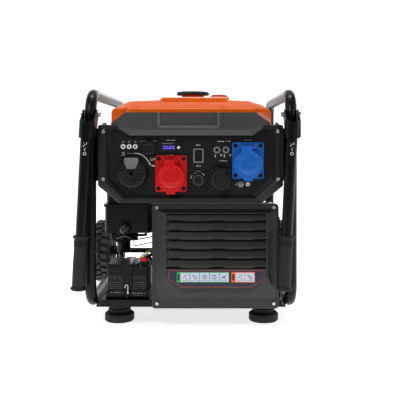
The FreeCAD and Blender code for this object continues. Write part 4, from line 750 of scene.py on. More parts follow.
def build_frame():
    """Dresses the tubes, the base, the feet and the bolts."""
    for node in ("hoop_left", "hoop_right", "upper_frame", "base_frame"):
        dress(node, "tubes", 0.5)
    for node in ("handle_left", "handle_right"):
        dress(node, "tubes", 0.8)
    dress("front_feet", "rubber", 0.8)
    for node in ("axle", "axle_brackets"):
        dress(node, "tubes", 0.6)
    for node in ("handle_pivots", "bright_bolts"):
        dress(node, "zinc", 0.7)
    dress("panel_screws", "dark_metal", 0.5)


LEAN = math.atan(0.052)


def build_grips():
    """Ribbed rubber grips and the printed unlock signs above them."""
    for side in ("left", "right"):
        low, high = span("grip_" + side)
        length, centre = 130.0, (low + high) / 2
        tilt = Matrix.Translation(centre * MM) @ Matrix.Rotation(LEAN, 4, "Y")
        half = length / 2
        profile = [(-half, 0.0), (-half, 15.0), (-half + 1, 17.4), (-half + 2.4, 18.9), (-half + 5.5, 19.3),
                   (-half + 7, 18.2),
                   (-half + 8.6, 16.2), (-half + 12, 15.6)]
        profile += [(-half + 12 + i * 4, 15.6 + 0.5 * math.sin(i / 19 * math.pi)) for i in range(1, 20)]
        for i in range(4):
            z = half - 27 + i * 4.2
            profile += [(z, 15.7), (z + 0.7, 17.0), (z + 1.9, 17.0), (z + 2.6, 15.7)]
        profile += [(half - 8.4, 16.0), (half - 7, 18.4), (half - 5.4, 19.3), (half - 2.4, 19.3),
                    (half - 0.8, 18.0),
                    (half, 16.0), (half, 13.6), (half - 2, 13.55)]

        def flute(turn, z, half=half):
            inside = smooth_step(z, -half + 12, -half + 20) * (1 - smooth_step(z, half - 36, half - 28))
            return 1 - 0.022 * inside * (0.5 + 0.5 * math.cos(turn * 18))

        mould = Mould()
        mould.lathe("z", (0, 0), profile, "grip", 108, wave=flute)
        mould.cast(
            "rubber_grip_" + side, "handle_" + side + "_arm", "rubber", ("grip_" + side,), sharp=50, lean=tilt
        )

        radius, drop = 13.62, 272.0
        signs = stroke([(-3.4, 12), (0.5, 8.4), (-2.6, 4.6), (2.8, 0.2), (-1.2, -3.4), (1.6, -6.6)], 1.5)
        signs += stroke([(-4.4, 5.4), (-2.6, 4.2), (-3.8, 2.4)], 1.3) + ring_mark(0.4, -13.5, 3.3, 1.3)
        signs += stroke([(3.2, 13), (4.6, 10.4), (3.0, 8.2)], 1.3)

        def wrap(u, v, radius=radius, drop=drop):
            return (radius * math.sin(u / radius), -radius * math.cos(u / radius), v + drop)

        print_marks(
            "unlock_sign_" + side, "handle_" + side + "_arm", "black_paint", "marks", signs, wrap, lean=tilt
        )


def build_wheels():
    """Tyres with two staggered rows of lugs, over pressed rims."""
    count = sizes().lugs
    for side in ("left", "right"):
        low, high = span("tyre_" + side)
        mid, y, z = (low.x + high.x) / 2, (low.y + high.y) / 2, (low.z + high.z) / 2
        r, half = (high.z - low.z) / 2, (high.x - low.x) / 2
        base = r - 7.5
        profile = [(-half + 6, 60.2), (-half + 1, 66), (-half, 69), (-half + 0.4, 74), (-half, 75),
                   (-half + 0.2, 80),
                   (-half + 1.4, base - 4), (-half + 5, base - 0.6), (-half + 12, base), (0, base + 0.6)]
        profile += [(-u, v) for u, v in reversed(profile[:-1])]
        mould = Mould()
        mould.lathe("x", (y, z), [(mid + u, v) for u, v in profile], "tread", 104)
        for row in (-1, 1):
            for i in range(count):
                turn = math.tau * (i + (0.25 if row > 0 else -0.25)) / count
                spread = math.tau / count * 0.31

                def at(u, around, reach, turn=turn, row=row):
                    a = turn + around
                    return (mid + row * u, y + reach * math.cos(a), z + reach * math.sin(a))

                skew = spread * 0.55
                foot = [
                    (1.5, -spread - skew), (half - 1.2, -spread), (half - 1.2, spread), (1.5, spread - skew)
                ]
                top = [
                    (2.8, -spread * 0.82 - skew), (half - 5.2, -spread * 0.8), (half - 5.2, spread * 0.8),
                    (2.8, spread * 0.82 - skew)
                ]
                rings = [
                    [at(u, a, base - 3) for u, a in foot],
                    [at(u, a, r - 3.2 if u > half - 3 else r - 1.0) for u, a in foot],
                    [at(u, a, r - 0.15) for u, a in top],
                ]
                mould.skin(rings, "tread", (False, True))
                shoulder = [
                    at(half - 3.4, spread * 0.8, base + 1), at(half - 3.4, -spread * 0.8, base + 1),
                    at(half - 0.2, -spread * 0.7, base - 9), at(half - 0.2, spread * 0.7, base - 9),
                ]
                outer = [
                    at(half - 1.4, spread * 0.8, r - 4.6), at(half - 1.4, -spread * 0.8, r - 4.6),
                    at(half - 0.05, -spread * 0.7, base - 7), at(half - 0.05, spread * 0.7, base - 7),
                ]
                mould.skin([shoulder, outer], "tread", (False, True))
        mould.cast("tread_" + side, "wheel_" + side, "tyre", ("tyre_" + side,), sharp=36)
        dress("rim_" + side, "dark_metal", 0.7)


# ----------------------------------------------------------------------------- tank and shroud

CROWN = [(-200, 526), (-196, 533), (-186, 538), (-155, 552.5), (-80, 556.2), (88, 556.2), (143, 553.6),
         (172, 545),
         (187, 536.5), (196, 531), (200, 524)]
FALL = [
    (-284, 524), (-281, 532), (-276, 535), (-232, 557.5), (-226, 562), (96, 562), (104, 556), (140, 538),
    (147, 531), (150, 522)
]


def tank_height(x, y):
    """The tank's top: a crown across it, falling at front and back, with a raised middle."""
    z = soft_least(table(x, CROWN), table(y, FALL), 3.0)
    raised = smooth_step(x, -80, -73) * (1 - smooth_step(x, 86, 93)) * min(
        1.0, max(0.0, (y + 246) / 7)
    ) * (1 - smooth_step(y, 60, 74))
    groove = smooth_step(x, -84, -79) * (1 - smooth_step(x, 92, 97)) * smooth_step(y, -253, -250) * (
        1 - smooth_step(y, -249, -246)
    )
    beads = sum(
        smooth_step(abs(x - s), 9, 4) * smooth_step(y, -236, -222) * (1 - smooth_step(y, 70, 90))
        for s in (-122, -150, 128)
    )
    return z + 7.0 * raised - 2.4 * groove - 1.3 * beads


def build_tank():
    """The pressed tank with its seam flange, rubber mounts, filler collar and a raised gauge with a red lens.
    """
    low = span("fuel_tank")[0]
    front, back, floor, corner = low.y, 150.0, low.z, 45.0
    rows = sorted({front + t for t in (0, 1, 2.2, 4, 7, 11, 16)} | {back - t for t in (0, 1.5, 3, 6, 10)}
                  | {front + 20 + 4.0 * i for i in range(13)} | {
                      -216 + 12 * i for i in range(30) if -216 + 12 * i < back - 12
                  }
                  | {-253, -250, -248, -246, -242.5, -239, -238.4})
    marks = [-200, -199, -197.5, -195, -191, -186] + [-180 + 6 * i for i in range(16)] + [
        -87, -84, -82, -80, -78, -76, -74, -72
    ]
    marks += [
        -66 + 12 * i for i in range(13)
    ] + [84, 86, 88, 90, 92, 94, 97] + [102 + 6 * i for i in range(15)] + [189, 193, 196, 198, 200]
    marks = sorted(set(marks))
    mould = Mould()
    grid = []
    for y in rows:
        inset = max(0.0, corner - (y - front), corner - (back - y))
        width = 200.0 - inset
        line = []
        for x in marks:
            u = x * width / 200.0
            line.append((u, y, tank_height(x if inset else u, y)))
        grid.append(mould.add(line))
    for a, b in zip(grid, grid[1:]):
        for i in range(len(marks) - 1):
            mould.face([a[i], a[i + 1], b[i + 1], b[i]], "tank")
    rim = grid[0] + [line[-1] for line in grid[1:-1]] + grid[-1][::-1] + [line[0] for line in grid[-2:0:-1]]
    edge = [mould.points[i] for i in rim]
    levels = [rim]
    for drop in (0.5, 1.0):
        levels.append(mould.add([(x, y, z + (floor + 3 - z) * drop) for x, y, z in edge]))
    for a, b in zip(levels, levels[1:]):
        for i in range(len(rim)):
            after = (i + 1) % len(rim)
            mould.face([a[i], b[i], b[after], a[after]], "tank")
    plan = [
        (-155, front), (155, front), (200, front + 45), (200, back - 45), (155, back), (-155, back),
        (-200, back - 45), (-200, front + 45)
    ]
    flange = [
        (x * 1.07, y if y == front else y + (13.5 if y > 0 else -4 if y == front + 45 else 0)) for x,
        y in plan
    ]
    mould.slab(rounded(flange, 6, 3), "XY", floor, floor + 3.2, "tank", 0.8)
    for x in (-222.5, 222.5):
        for y in (-214, 90):
            mould.lathe(
                "z", (x, y), [
                    (454, 0), (454, 6.4), (455, 7), (457, 5.8), (459, 5.8), (461, 7), (462, 6.6), (462, 0)
                ], "rubber", 24
            )
    mould.lathe("z", (0, -62), [(555, 40), (563.5, 38), (566, 33), (570, 30.5), (583, 30)], "tank", 56)
    mould.lathe(
        "z", (72, -66), [(560, 29), (570.5, 28), (573.4, 25.4), (574, 21), (573.2, 20), (573.2, 0)], "tank",
        48
    )
    mould.lathe("z", (72, -66), [(572, 22.4), (576.6, 22), (578.4, 20), (579, 9), (579, 0)], "boot", 48)
    mould.cast("pressed_tank", FRAME, "orange_paint", ("fuel_tank",), sharp=40)


def build_cap():
    """The fuel cap with ribs round its edge and a bar to grip."""
    low, high = span("fuel_cap")
    y, top, bottom = (low.y + high.y) / 2, high.z, low.z
    ribs = sizes().cap_ribs

    def rib(turn, z):
        inside = smooth_step(z, bottom + 1, bottom + 3) * (1 - smooth_step(z, top - 4, top - 1.5))
        return 1 - 0.035 * inside * smooth_step(math.cos(turn * ribs), -0.3, 0.6)

    profile = [(bottom, 30.3), (bottom, 42), (bottom + 1, 44), (bottom + 3, 45), (top - 6, 45), (top - 3, 44),
               (top - 1.4, 42),
               (top - 0.6, 38), (top - 0.6, 33), (top - 1.6, 32), (top - 1.6, 20), (top - 2.0, 0)]
    mould = Mould()
    mould.lathe("z", (0, y), profile, "fitting", ribs * 8, wave=rib)
    bar = rounded(rectangle(-31, 31, y - 6.5, y + 6.5), 5, 5)
    mould.loft([(bar, top - 3), (bar, top - 0.9), (grown(bar, -1.2), top - 0.1)], "XY", "fitting")
    mould.cast("ribbed_cap", "tank_cap", "black_plastic", ("fuel_cap",), sharp=38)


SHROUD_TOP, SHROUD_FRONT, SHROUD_BACK, SHROUD_FOOT_BACK = 521.6, -316.4, -286, -312.2


def shroud_face(z):
    """How far forward the shroud's main face is at a height."""
    return SHROUD_FRONT - 3.4 * (SHROUD_TOP - z) / 41.6


def build_shroud():
    """The faceted beam under the tank, with its rimmed recess and ribs."""
    tip, top, inner, foot = (193, -309, 495), (
        156, SHROUD_FRONT, SHROUD_TOP
    ), (137, -319.8, 480), (148, -313.6, 466.4)
    grey_tone = "shroud"
    mould = Mould()

    def mirrored(point, sign):
        return (point[0] * sign, point[1], point[2])

    for sign in (-1, 1):
        a, b, c, d = (mirrored(p, sign) for p in (tip, top, inner, foot))
        mould.face(mould.add([a, b, c]), grey_tone)
        mould.face(mould.add([a, c, d]), grey_tone)
        mould.face(mould.add([a, b, (b[0], SHROUD_BACK, b[2]), (a[0], SHROUD_BACK, a[2])]), grey_tone)
        mould.face(
            mould.add([a, d, (d[0], SHROUD_FOOT_BACK, d[2]), (a[0], SHROUD_FOOT_BACK, a[2])]), grey_tone
        )
        mould.face(
            mould.add(
                [
                    (a[0], SHROUD_FOOT_BACK, a[2]), a, (a[0], SHROUD_BACK, a[2]),
                    (a[0] - sign * 3, SHROUD_BACK, a[2] - 2)
                ]
            ), grey_tone
        )
    mould.face(
        mould.add([(-137, -319.8, 480), (137, -319.8, 480), (148, -313.6, 466.4), (-148, -313.6, 466.4)]),
        grey_tone
    )
    mould.face(
        mould.add(
            [
                (-148, -313.6, 466.4), (148, -313.6, 466.4), (148, SHROUD_FOOT_BACK, 466.2),
                (-148, SHROUD_FOOT_BACK, 466.2)
            ]
        ), grey_tone
    )
    mid, half = -4.3, 68.3
    west, east = mid - half, mid + half
    corners = [Vector(p) for p in ((west, SHROUD_TOP), (west, 490), (east, 490), (east, SHROUD_TOP))]
    notch = [corners[0]] + turn_corner(*corners[:3], 8, 6) + turn_corner(*corners[1:], 8, 6) + [corners[3]]
    face = [(-156, SHROUD_TOP)] + [tuple(p) for p in notch] + [(156, SHROUD_TOP), (137, 480), (-137, 480)]
    mould.face(mould.add([(x, shroud_face(z), z) for x, z in face]), grey_tone)
    floor_ring = [
        (mid + (p.x - mid) * 0.985, shroud_face(p.y) + 3.2, p.y + (0.8 if p.y < 515 else 0)) for p in notch
    ]
    edge_ring = [(p.x, shroud_face(p.y), p.y) for p in notch]
    held = [mould.add(edge_ring), mould.add(floor_ring)]
    for i in range(len(notch) - 1):
        mould.face([held[0][i], held[0][i + 1], held[1][i + 1], held[1][i]], grey_tone)
    mould.face(held[1], grey_tone)
    top_back = [(-156, SHROUD_BACK, SHROUD_TOP), (156, SHROUD_BACK, SHROUD_TOP),
                (156, SHROUD_FRONT, SHROUD_TOP), (east, SHROUD_FRONT, SHROUD_TOP),
                (east - 1.1, -313.2, SHROUD_TOP),
                (west + 1.1, -313.2, SHROUD_TOP), (west, SHROUD_FRONT, SHROUD_TOP),
                (-156, SHROUD_FRONT, SHROUD_TOP)]
    mould.face(mould.add(top_back), grey_tone)
    path = [(west - 3.4, 521.4)] + [
        (mid + (p.x - mid) * (half + 3.4) / half, p.y if p.y > 500 else p.y - 3.4) for p in notch[1:-1]
    ]
    quads = stroke(path + [(east + 3.4, 521.4)], 6.0)
    rim = Mould()
    inner_edge = [q[0] for q in quads] + [quads[-1][1]]
    outer_edge = [q[3] for q in quads] + [quads[-1][2]]
    rows = []
    for line, out in ((inner_edge, -0.2), (inner_edge, 1.1), (outer_edge, 1.1), (outer_edge, -0.2)):
        rows.append(rim.add([(p[0], shroud_face(p[1]) - out, p[1]) for p in line]))
    # the raised rim takes the pale grey finish, partly its own grey and partly painted highlight along its
    # edge
    for a, b in zip(rows, rows[1:]):
        for i in range(len(inner_edge) - 1):
            rim.face([a[i], a[i + 1], b[i + 1], b[i]], "grey_and_painted_highlight")
    for sign in (-1, 1):
        for x in (80.6, 87.6):
            u = mid + x * sign
            bar = rounded(rectangle(u - 1.5, u + 1.5, 484, 521.2), 1.2, 3)
            ring = [
                [(p.x, shroud_face(p.y) - lift, p.y) for p in grown(bar, -trim)] for lift,
                trim in ((-0.3, 0), (0.8, 0), (1.3, 0.5))
            ]
            rim.skin(ring, "shroud")
    rim.cast("shroud_rim", FRAME, "dark_moulding", sharp=30, edge=0.3)
    mould.cast("tank_shroud_beam", FRAME, "dark_moulding", ("tank_shroud",), sharp=12, edge=0.9)


# ------------------------------------------------------------------------------- control panel


def bezel_line(outer, inner, share, radius):
    corners = [Vector(a).lerp(Vector(b), share) for a, b in zip(outer, inner)]
    return rounded(corners, radius, 4)


def build_bezel():
    """The moulded frame round the panel: a flat rim and a step down to the panel, painted dark as shade."""
    low, high = span("panel_bezel")
    x, bottom, top, front, back = high.x, low.z, high.z, low.y, high.y
    outer = [(-x, top), (-x, bottom + 42), (-x + 51, bottom), (x - 51, bottom), (x, bottom + 42), (x, top)]
    inner = [(-194, 479), (-194, 365), (-152, 323), (152, 323), (194, 365), (194, 479)]
    stations = [
        (0, back), (0, front + 2.5), (0.05, front + 0.5), (0.09, front), (0.56, front), (0.62, front + 0.9),
        (0.66, front + 4),
        (0.8, front + 6), (0.86, front + 9.5), (1.0, front + 11.8), (1.0, back - 2), (0.7, back),
    ]
    mould = Mould()
    rings = [bezel_line(outer, inner, share, 5 - 2 * share) for share, _ in stations]
    to = PLANES["XZ"]
    held = [mould.add([to(p.x, p.y, y) for p in ring]) for ring, (_, y) in zip(rings, stations)]
    pairs = list(zip(held, held[1:] + held[:1]))
    for k, (a, b) in enumerate(pairs):
        # the step's inner wall, stations 5 to 8, takes the near-black finish as painted shade of the recess
        tone = "dark" if 5 <= k <= 8 else "bezel"
        for i in range(len(a)):
            after = (i + 1) % len(a)
            mould.face([a[i], a[after], b[after], b[i]], tone)
    mould.cast("bezel_moulding", FRAME, "black_plastic", ("panel_bezel",), sharp=24)
    heads = Mould()
    for side in (-208, 208):
        heads.lathe(
            "z", (side, -299), [(top - 1, 6.4), (top + 1.2, 6.4), (top + 1.6, 5), (top + 1.6, 0)],
            "worn_steel", 28
        )
        heads.lathe(
            "z", (side, -299), [(top + 1.4, 4.4), (top + 5.6, 4.4), (top + 6.4, 3.2), (top + 6.4, 0)], "zinc",
            6
        )
    heads.cast("bezel_top_bolts", FRAME, "zinc", sharp=34)


def lid_disc(mould, x, z, radius, back, front, tone):
    """A round lid with a stepped, softly raised rim."""
    thick = back - front
    profile = [
        (back, radius - 1), (back - 0.8, radius), (back - thick * 0.55, radius),
        (back - thick * 0.8, radius - 1.2), (front - 0.6, radius - 2.6),
        (front - 0.6, radius - 5.2), (front + 0.5, radius - 6.4), (front + 0.5, radius - 9),
        (front - 0.4, radius - 11),
        (front - 0.9, radius * 0.35), (front - 1.0, 0),
    ]
    mould.lathe("y", (x, z), [(back, 0)] + profile, tone, 72)


PLATE_HALF_HEIGHT = 44


def build_power_sockets():
    """The two big sockets with their sprung lids."""
    for tone, node in (("red", "red_socket"), ("blue", "blue_socket")):
        dress(node, tone, 0.9)
        low, high = span(node)
        x, plate_middle = (low.x + high.x) / 2, high.z - PLATE_HALF_HEIGHT
        centre = plate_middle - 8.5
        hinge = centre + 41
        back, front = -318.3, -323.3
        mould = Mould()
        lid_disc(mould, x, centre, 34, back, front, tone)
        tab = rounded(
            [(x - 12, centre - 30), (x - 10.5, centre - 40), (x + 10.5, centre - 40), (x + 12, centre - 30)],
            [0.5, 2, 2, 0.5], 4
        )
        mould.slab(tab, "XZ", back, front + 0.4, tone, 0.7)
        frame_mark = rounded(rectangle(x - 15, x + 15, centre - 8, centre + 9), 2, 3)
        mould.loft(
            [(grown(frame_mark, -1.2), front - 1.0), (grown(frame_mark, -1.0), front - 1.7),
             (frame_mark, front - 1.7), (grown(frame_mark, 0.3), front - 0.6)],
            "XZ", tone, caps=(False, False),
        )
        for k in range(3):
            bar = rectangle(x - 9, x + 9, centre - 4.2 + 4.4 * k, centre - 3.2 + 4.4 * k)
            mould.slab([Vector(p) for p in bar], "XZ", front - 0.6, front - 1.4, tone, 0.2)
        block = rounded(
            [
                (x - 16.4, centre + 22), (x + 9.5, centre + 22), (x + 9.5, hinge + 1.6),
                (x - 16.4, hinge + 1.6)
            ], 1.6, 3
        )
        mould.slab(block, "XZ", -314.6, front - 0.3, tone, 0.8)
        stub = rounded(
            [
                (x + 13.4, hinge - 4.5), (x + 16.6, hinge - 4.5), (x + 16.6, hinge + 1.6),
                (x + 13.4, hinge + 1.6)
            ], 0.8, 2
        )
        mould.slab(stub, "XZ", -314.6, front + 0.6, tone, 0.6)
        mould.cast(tone + "_lid_moulding", tone + "_flap", tone + "_plastic", (tone + "_lid",), sharp=32)
        spring = Mould()
        coil = []
        for i in range(73):
            turn = math.tau * 5 * i / 72
            coil.append(
                (x + 9.9 + 3.2 * i / 72, -318 + 2.5 * math.cos(turn), hinge + 2.5 * math.sin(turn) - 0.6)
            )
        coil.append((x + 13.0, -320.6, hinge - 12))
        spring.pipe(coil, 0.5, "dark_metal", 8)
        spring.cast(tone + "_lid_spring", FRAME, "steel", sharp=60)
        heads = Mould()
        for sx in (-30, 30):
            for sz in (-36, 36):
                heads.lathe(
                    "y", (x + sx, plate_middle + sz),
                    [(-306.1, 5.2), (-306.9, 5.0), (-307.0, 3.9), (-306.25, 3.5), (-306.25, 0)], "dark", 24
                )
        heads.cast(tone + "_screw_wells", FRAME, "steel", sharp=40)


def build_household_socket():
    """The household socket with its round flap and upright bar."""
    dress("household_socket", "fitting", 0.7)
    x, z, back, front = 72.5, 363.0, -314.3, -317.6
    mould = Mould()
    lid_disc(mould, x, z - 3, 21.4, back, front, "fitting")
    corners, bends = rectangle(x - 9.8, x + 9.8, z - 27, z + 20), [3, 3, 1, 1]
    levels = [
        (0, back), (0, front - 3.4), (1, front - 4.6), (2.8, front - 4.8), (3.6, front - 4.2),
        (4.2, front - 4.2)
    ]
    mould.loft([(inset(corners, bends, step), y) for step, y in levels], "XZ", "fitting")
    mould.lathe(
        "x", (-318, z + 23), [(x - 9.6, 0), (x - 9.6, 2.6), (x + 9.6, 2.6), (x + 9.6, 0)], "fitting", 24
    )
    mould.slab(
        rounded(rectangle(x - 9.4, x + 9.4, z + 17, z + 24), 0.8, 2), "XZ", -316.4, -319.6, "fitting", 0.4
    )
    mould.cast("household_flap_moulding", "household_flap", "black_plastic", ("household_lid",), sharp=32)
    corner = Mould()
    for sx in (-20.5, 20.5):
        for sz in (-20.5, 20.5):
            corner.lathe(
                "y", (x + sx, z + sz), [(-306.0, 3.0), (-307.2, 2.8), (-307.8, 1.8), (-307.8, 0)],
                "dark_metal", 18
            )
    corner.cast("household_screws", FRAME, "steel", sharp=40)


DIAL_STEPS = 216


def build_dial():
    """The control dial: a drum with radial grooves, a dark hub and a pale pointer shield."""
    x, z = -141.0, 376.0
    back, front = -303.4, -326.0
    grooves = [math.radians(30 * k + 90) for k in range(1, 12)]
    turns = [math.tau * i / DIAL_STEPS for i in range(DIAL_STEPS)]

    def height(reach, turn):
        y = table(reach, [(0, front + 0.2), (6.6, front + 0.2), (7.4, front + 1.4), (8.8, front + 3.4),
                          (10, front + 3.4), (24, front + 3.0), (31, front + 3.4),
                          (33.5, front + 5.2), (35.2, front + 8)])
        for a in grooves:
            gap = abs((turn - a + math.pi) % math.tau - math.pi) * reach
            groove = smooth_step(gap, 2.1, 1.3) * smooth_step(reach, 19.5, 20.5) * smooth_step(reach, 34.5, 32)
            y += 2.0 * groove
        return y

    reaches = [2.5, 5.8, 6.8, 7.4, 8.2, 8.8, 12, 16, 19.4, 20.1, 20.8, 24, 28, 31, 32.4, 33.6, 34.6, 35.2]
    mould = Mould()
    rings = []
    for reach in reaches:
        rings.append([(x + reach * math.cos(a), height(reach, a), z + reach * math.sin(a)) for a in turns])
    for y, reach in (
        (front + 14, 36.2), (back - 4, 36.6), (back - 3.4, 37.0), (back - 0.4, 37.0), (back, 36.4), (back, 6)
    ):
        rings.append([(x + reach * math.cos(a), y, z + reach * math.sin(a)) for a in turns])
    mould.skin(rings, "fitting", (True, True))
    mould.lathe(
        "y", (x, z), [
            (front + 0.2, 6.4), (front, 6.2), (front + 0.1, 4.4), (front + 1.6, 4.0), (front + 1.6, 0)
        ], "dark", 40
    )
    mould.cast("dial_drum", "dial", "black_plastic", ("control_dial",), sharp=30)
    shield = [
        (x - 17.2, z + 37.6), (x - 16.8, z + 26), (x - 9.5, z + 11.2), (x + 9.5, z + 11.2),
        (x + 16.8, z + 26), (x + 17.2, z + 37.6)
    ]
    badge, bends = Mould(), [5, 7, 4, 4, 7, 5]
    levels = [(0, front + 6.5), (0, front + 1.2), (0.9, front + 0.3), (4.6, front + 0.3), (5.2, front + 0.9)]
    badge.loft([(inset(shield, bends, step), y) for step, y in levels], "XZ", "insert")
    badge.cast("dial_pointer", "dial", "black_plastic", sharp=30)
    hook = stroke(
        [(x - 3.4, z + 30)]
        + [
            (x + 3.4 * math.cos(math.radians(a)), z + 24 + 3.4 * math.sin(math.radians(a)))
            for a in range(180, 361, 20)
        ] + [(x + 3.4, z + 30)], 1.3
    )
    print_marks("dial_pointer_mark", "dial", "black_plastic", "dim_marks", hook, on_face(front + 0.82))


def seven_bars(x, z, width, height, bars="abcdefg"):
    """The lit bars of one numeral."""
    t, w, h = 1.0, width / 2, height / 2
    places = {
        "a": [(-w, h), (w, h)], "b": [(w, h), (w, 0)], "c": [(w, 0), (w, -h)], "d": [(-w, -h), (w, -h)],
        "e": [(-w, 0), (-w, -h)], "f": [(-w, h), (-w, 0)], "g": [(-w, 0), (w, 0)],
    }
    made = []
    for bar in bars:
        (u0, v0), (u1, v1) = places[bar]
        a, b = Vector((x + u0, z + v0)), Vector((x + u1, z + v1))
        trim = (b - a).normalized() * 0.5
        made += stroke([a + trim, b - trim], t)
    return made


def build_display():
    """The display with lit numerals, its button and its small signs."""
    dress("display_module", "fitting", 0.5)
    dress("display_button", "lens", 0.3)
    z = 437.5
    glass = Mould()
    glass.slab(
        [Vector(p) for p in rectangle(-71.3, -36.9, z - 8.7, z + 8.7)], "XZ", -301.7, -302.4, "label", 0.2
    )
    glass.slab(
        [Vector(p) for p in rectangle(-67.2, -37.3, z - 4.6, z + 4.4)], "XZ", -302.4, -302.6, "glass", 0.05
    )
    glass.cast("display_window", FRAME, "lens", sharp=30)
    bars = []
    for i, lit in enumerate(("abcdef", "abcdef", "abcdeg", "abcdef")):
        bars += seven_bars(-63.6 + 7.3 * i, z - 0.1, 4.3, 6.6, lit)
    print_marks("display_numerals", FRAME, "lens", "digits", bars, on_face(-302.68))
    rng = random.Random(4)
    signs = lettering(-70, -42, z + 9.9, 1.6, rng, 0.8)
    print_marks("display_signs", FRAME, "label", "grey_marks", signs, on_face(-303.06))


def build_small_fittings():
    """The lamps, charging cap, rocker, transfer socket, breakers and earth terminal."""
    dress("indicator_lamps", "lens", 0.5)
    dots, lens = Mould(), span("indicator_lamps")[0].y
    for i in (-1, 0, 1):
        centre = (-148.2 + 14.6 * i, 439.7)
        dots.lathe(
            "y", centre, [(lens + 0.5, 2.6), (lens - 0.1, 2.4), (lens - 0.2, 1.6), (lens - 0.2, 0)], "dark",
            24
        )
    dots.cast("lamp_centres", FRAME, "lens", sharp=40)

    dress("usb_socket", "fitting", 0.5)
    x, z, h = -100.0, 436.0, 14.5
    body = rounded(rectangle(x - h, x + h, z - h, z + h - 3), 5.5, 6)
    cap = Mould()
    cap.loft(
        [
            (grown(body, -0.6), -303.4), (body, -304), (body, -306.8), (grown(body, -0.8), -307.9),
            (grown(body, -2.6), -308.3), (grown(body, -3.4), -307.7)
        ], "XZ", "fitting"
    )
    oval = rounded(rectangle(x - 6.5, x + 6.5, z - 4.6, z + 1.6), 3, 5)
    cap.loft([(grown(oval, 0.8), -307.6), (oval, -308.25), (grown(oval, -0.9), -308.25)], "XZ", "dark")
    arm = rounded(rectangle(x - 7.6, x + 7.6, z + h - 6, z + h + 3.2), 1.5, 3)
    cap.slab(arm, "XZ", -303.6, -307.2, "fitting", 0.6)
    cap.lathe(
        "x", (-305, z + h + 2), [(x - 7.6, 0), (x - 7.6, 2.1), (x + 7.6, 2.1), (x + 7.6, 0)], "fitting", 20
    )
    cap.cast("charging_cap", "usb_flap", "rubber", ("usb_lid",), sharp=34)

    dress("rocker_frame", "insert", 0.6)
    dress("mode_rocker", "dark", 0.4)
    x, z = 18.8, 417.8
    ribs = Mould()
    for k in range(-4, 5):
        v = z + 2.55 * k
        lift = 2.0 * abs(k) / 4
        ribs.slab(
            rounded(rectangle(x - 7.4, x + 7.4, v - 0.55, v + 0.55), 0.3, 2), "XZ", -303.9 - lift,
            -305.0 - lift, "fitting", 0.2
        )
    ribs.cast("rocker_ribs", "rocker", "black_plastic", sharp=34)

    dress("transfer_socket", "fitting", 0.6)
    dress("transfer_cap", "fitting", 0.7)
    dress("breakers", "grey_and_painted_highlight", 0.5)
    dress("breaker_button_1", "dark", 0.3)
    dress("breaker_button_2", "dark", 0.3)
    dress("ground_terminal", "worn_steel", 0.4)


def build_panel_marks():
    """The panel plate and its printed signs, all generic."""
    dress("control_panel", "plate", 0.4)
    rng = random.Random(11)
    face = on_face(-300.14)
    start = [
        (-136, 423.6), (-126, 423), (-117, 419.6), (-110, 414), (-104.6, 407.6), (-101.6, 403.2),
        (-99.4, 399.6)
    ]
    white = stroke(start, 1.8) + ring_mark(-98.4, 397.6, 1.7, 1.6)
    white += stroke([(-93, 393.5), (-86.5, 393.5)], 3.4) + stroke([(-96, 392.2), (-93, 395)], 1.2)
    white += stroke(
        [(-166, 425.4), (-160, 425.4), (-160, 418.6), (-166, 418.6), (-166, 420.2)], 1.1
    ) + stroke([(-164.4, 422), (-161.4, 422)], 1.0)
    white += stroke([(-96.5, 412), (-96.5, 406.4), (-92.4, 406.4)], 1.1) + ring_mark(-89.2, 409.4, 2.1, 1.0)
    for x in (22.6 + 50, 22.6 + 72):
        white += stroke([(x - 13.4, 416), (x - 13.4, 420.5)], 1.6) + stroke(
            [(x - 15, 414.6), (x - 11.8, 414.6)], 1.2
        )
        white += stroke([(x - 0.6, 416.4), (x + 3.0, 420.6)], 1.4) + stroke(
            [(x - 1.6, 420.4), (x + 1.2, 420.4)], 1.4
        )
    white += lettering(64, 96, 452.2, 2.0, rng) + lettering(13, 24, 443.3, 2.2, rng) + lettering(
        13.6, 24.6, 393.0, 2.2, rng
    )
    white += lettering(
        13.4, 23.8, 380.8, 2.0, rng
    ) + lettering(68, 88, 405.4, 1.9, rng) + lettering(-59, -37, 454.8, 1.6, rng)
    for a0, a1 in ((35, 72), (98, 124), (142, 168)):
        white += stroke(arc(18.4, 359, 18.4, a0, a1, 8), 1.7)
    white += stroke([(16.4, 374.6), (16.4, 377.4), (20.4, 377.4), (20.4, 374.6)], 1.0)
    white += ring_mark(138, 349, 3.4, 3.2)
    print_marks("panel_signs", FRAME, "label", "marks", white, face)
    for side in (-0.5, 0.5):
        x = 74 + 21.6 * side
        near = span("breakers")[0].y - 0.06
        print_marks(
            "breaker_ring" + ("_left" if side < 0 else "_right"), FRAME, "label", "grey_marks",
            ring_mark(x, 431.5, 6.2, 1.7), on_face(near)
        )
    near = span("transfer_cap")[0].y - 0.06
    print_marks(
        "transfer_cap_ring", "transfer_flap", "label", "dim_marks", ring_mark(18.4, 359, 11.6, 1.1),
        on_face(near)
    )

    dim = lettering(-124, -108, 452.8, 1.5, rng) + lettering(-92, -84, 452.8, 1.5, rng) + lettering(
        -152.5, -138, 423.4, 2.4, rng, 0.7
    )
    for i in (-1, 0, 1):
        x = -148.2 + 14.6 * i
        dim += stroke(
            [(x - 3.0, 449.6), (x, 453.8), (x + 3.0, 449.6)], 0.9
        ) + stroke([(x - 1.6, 450.2), (x + 1.6, 450.2)], 0.9)
    dim += stroke(
        [(108, 347), (112, 353.4), (116, 347), (108, 347)], 1.2
    ) + lettering(128, 148, 455.4, 1.5, rng)
    dim += lettering(-58, -40, 419.4, 1.7, rng)
    print_marks("panel_small_signs", FRAME, "label", "grey_marks", dim, face)


# --------------------------------------------------------------------------------- cover


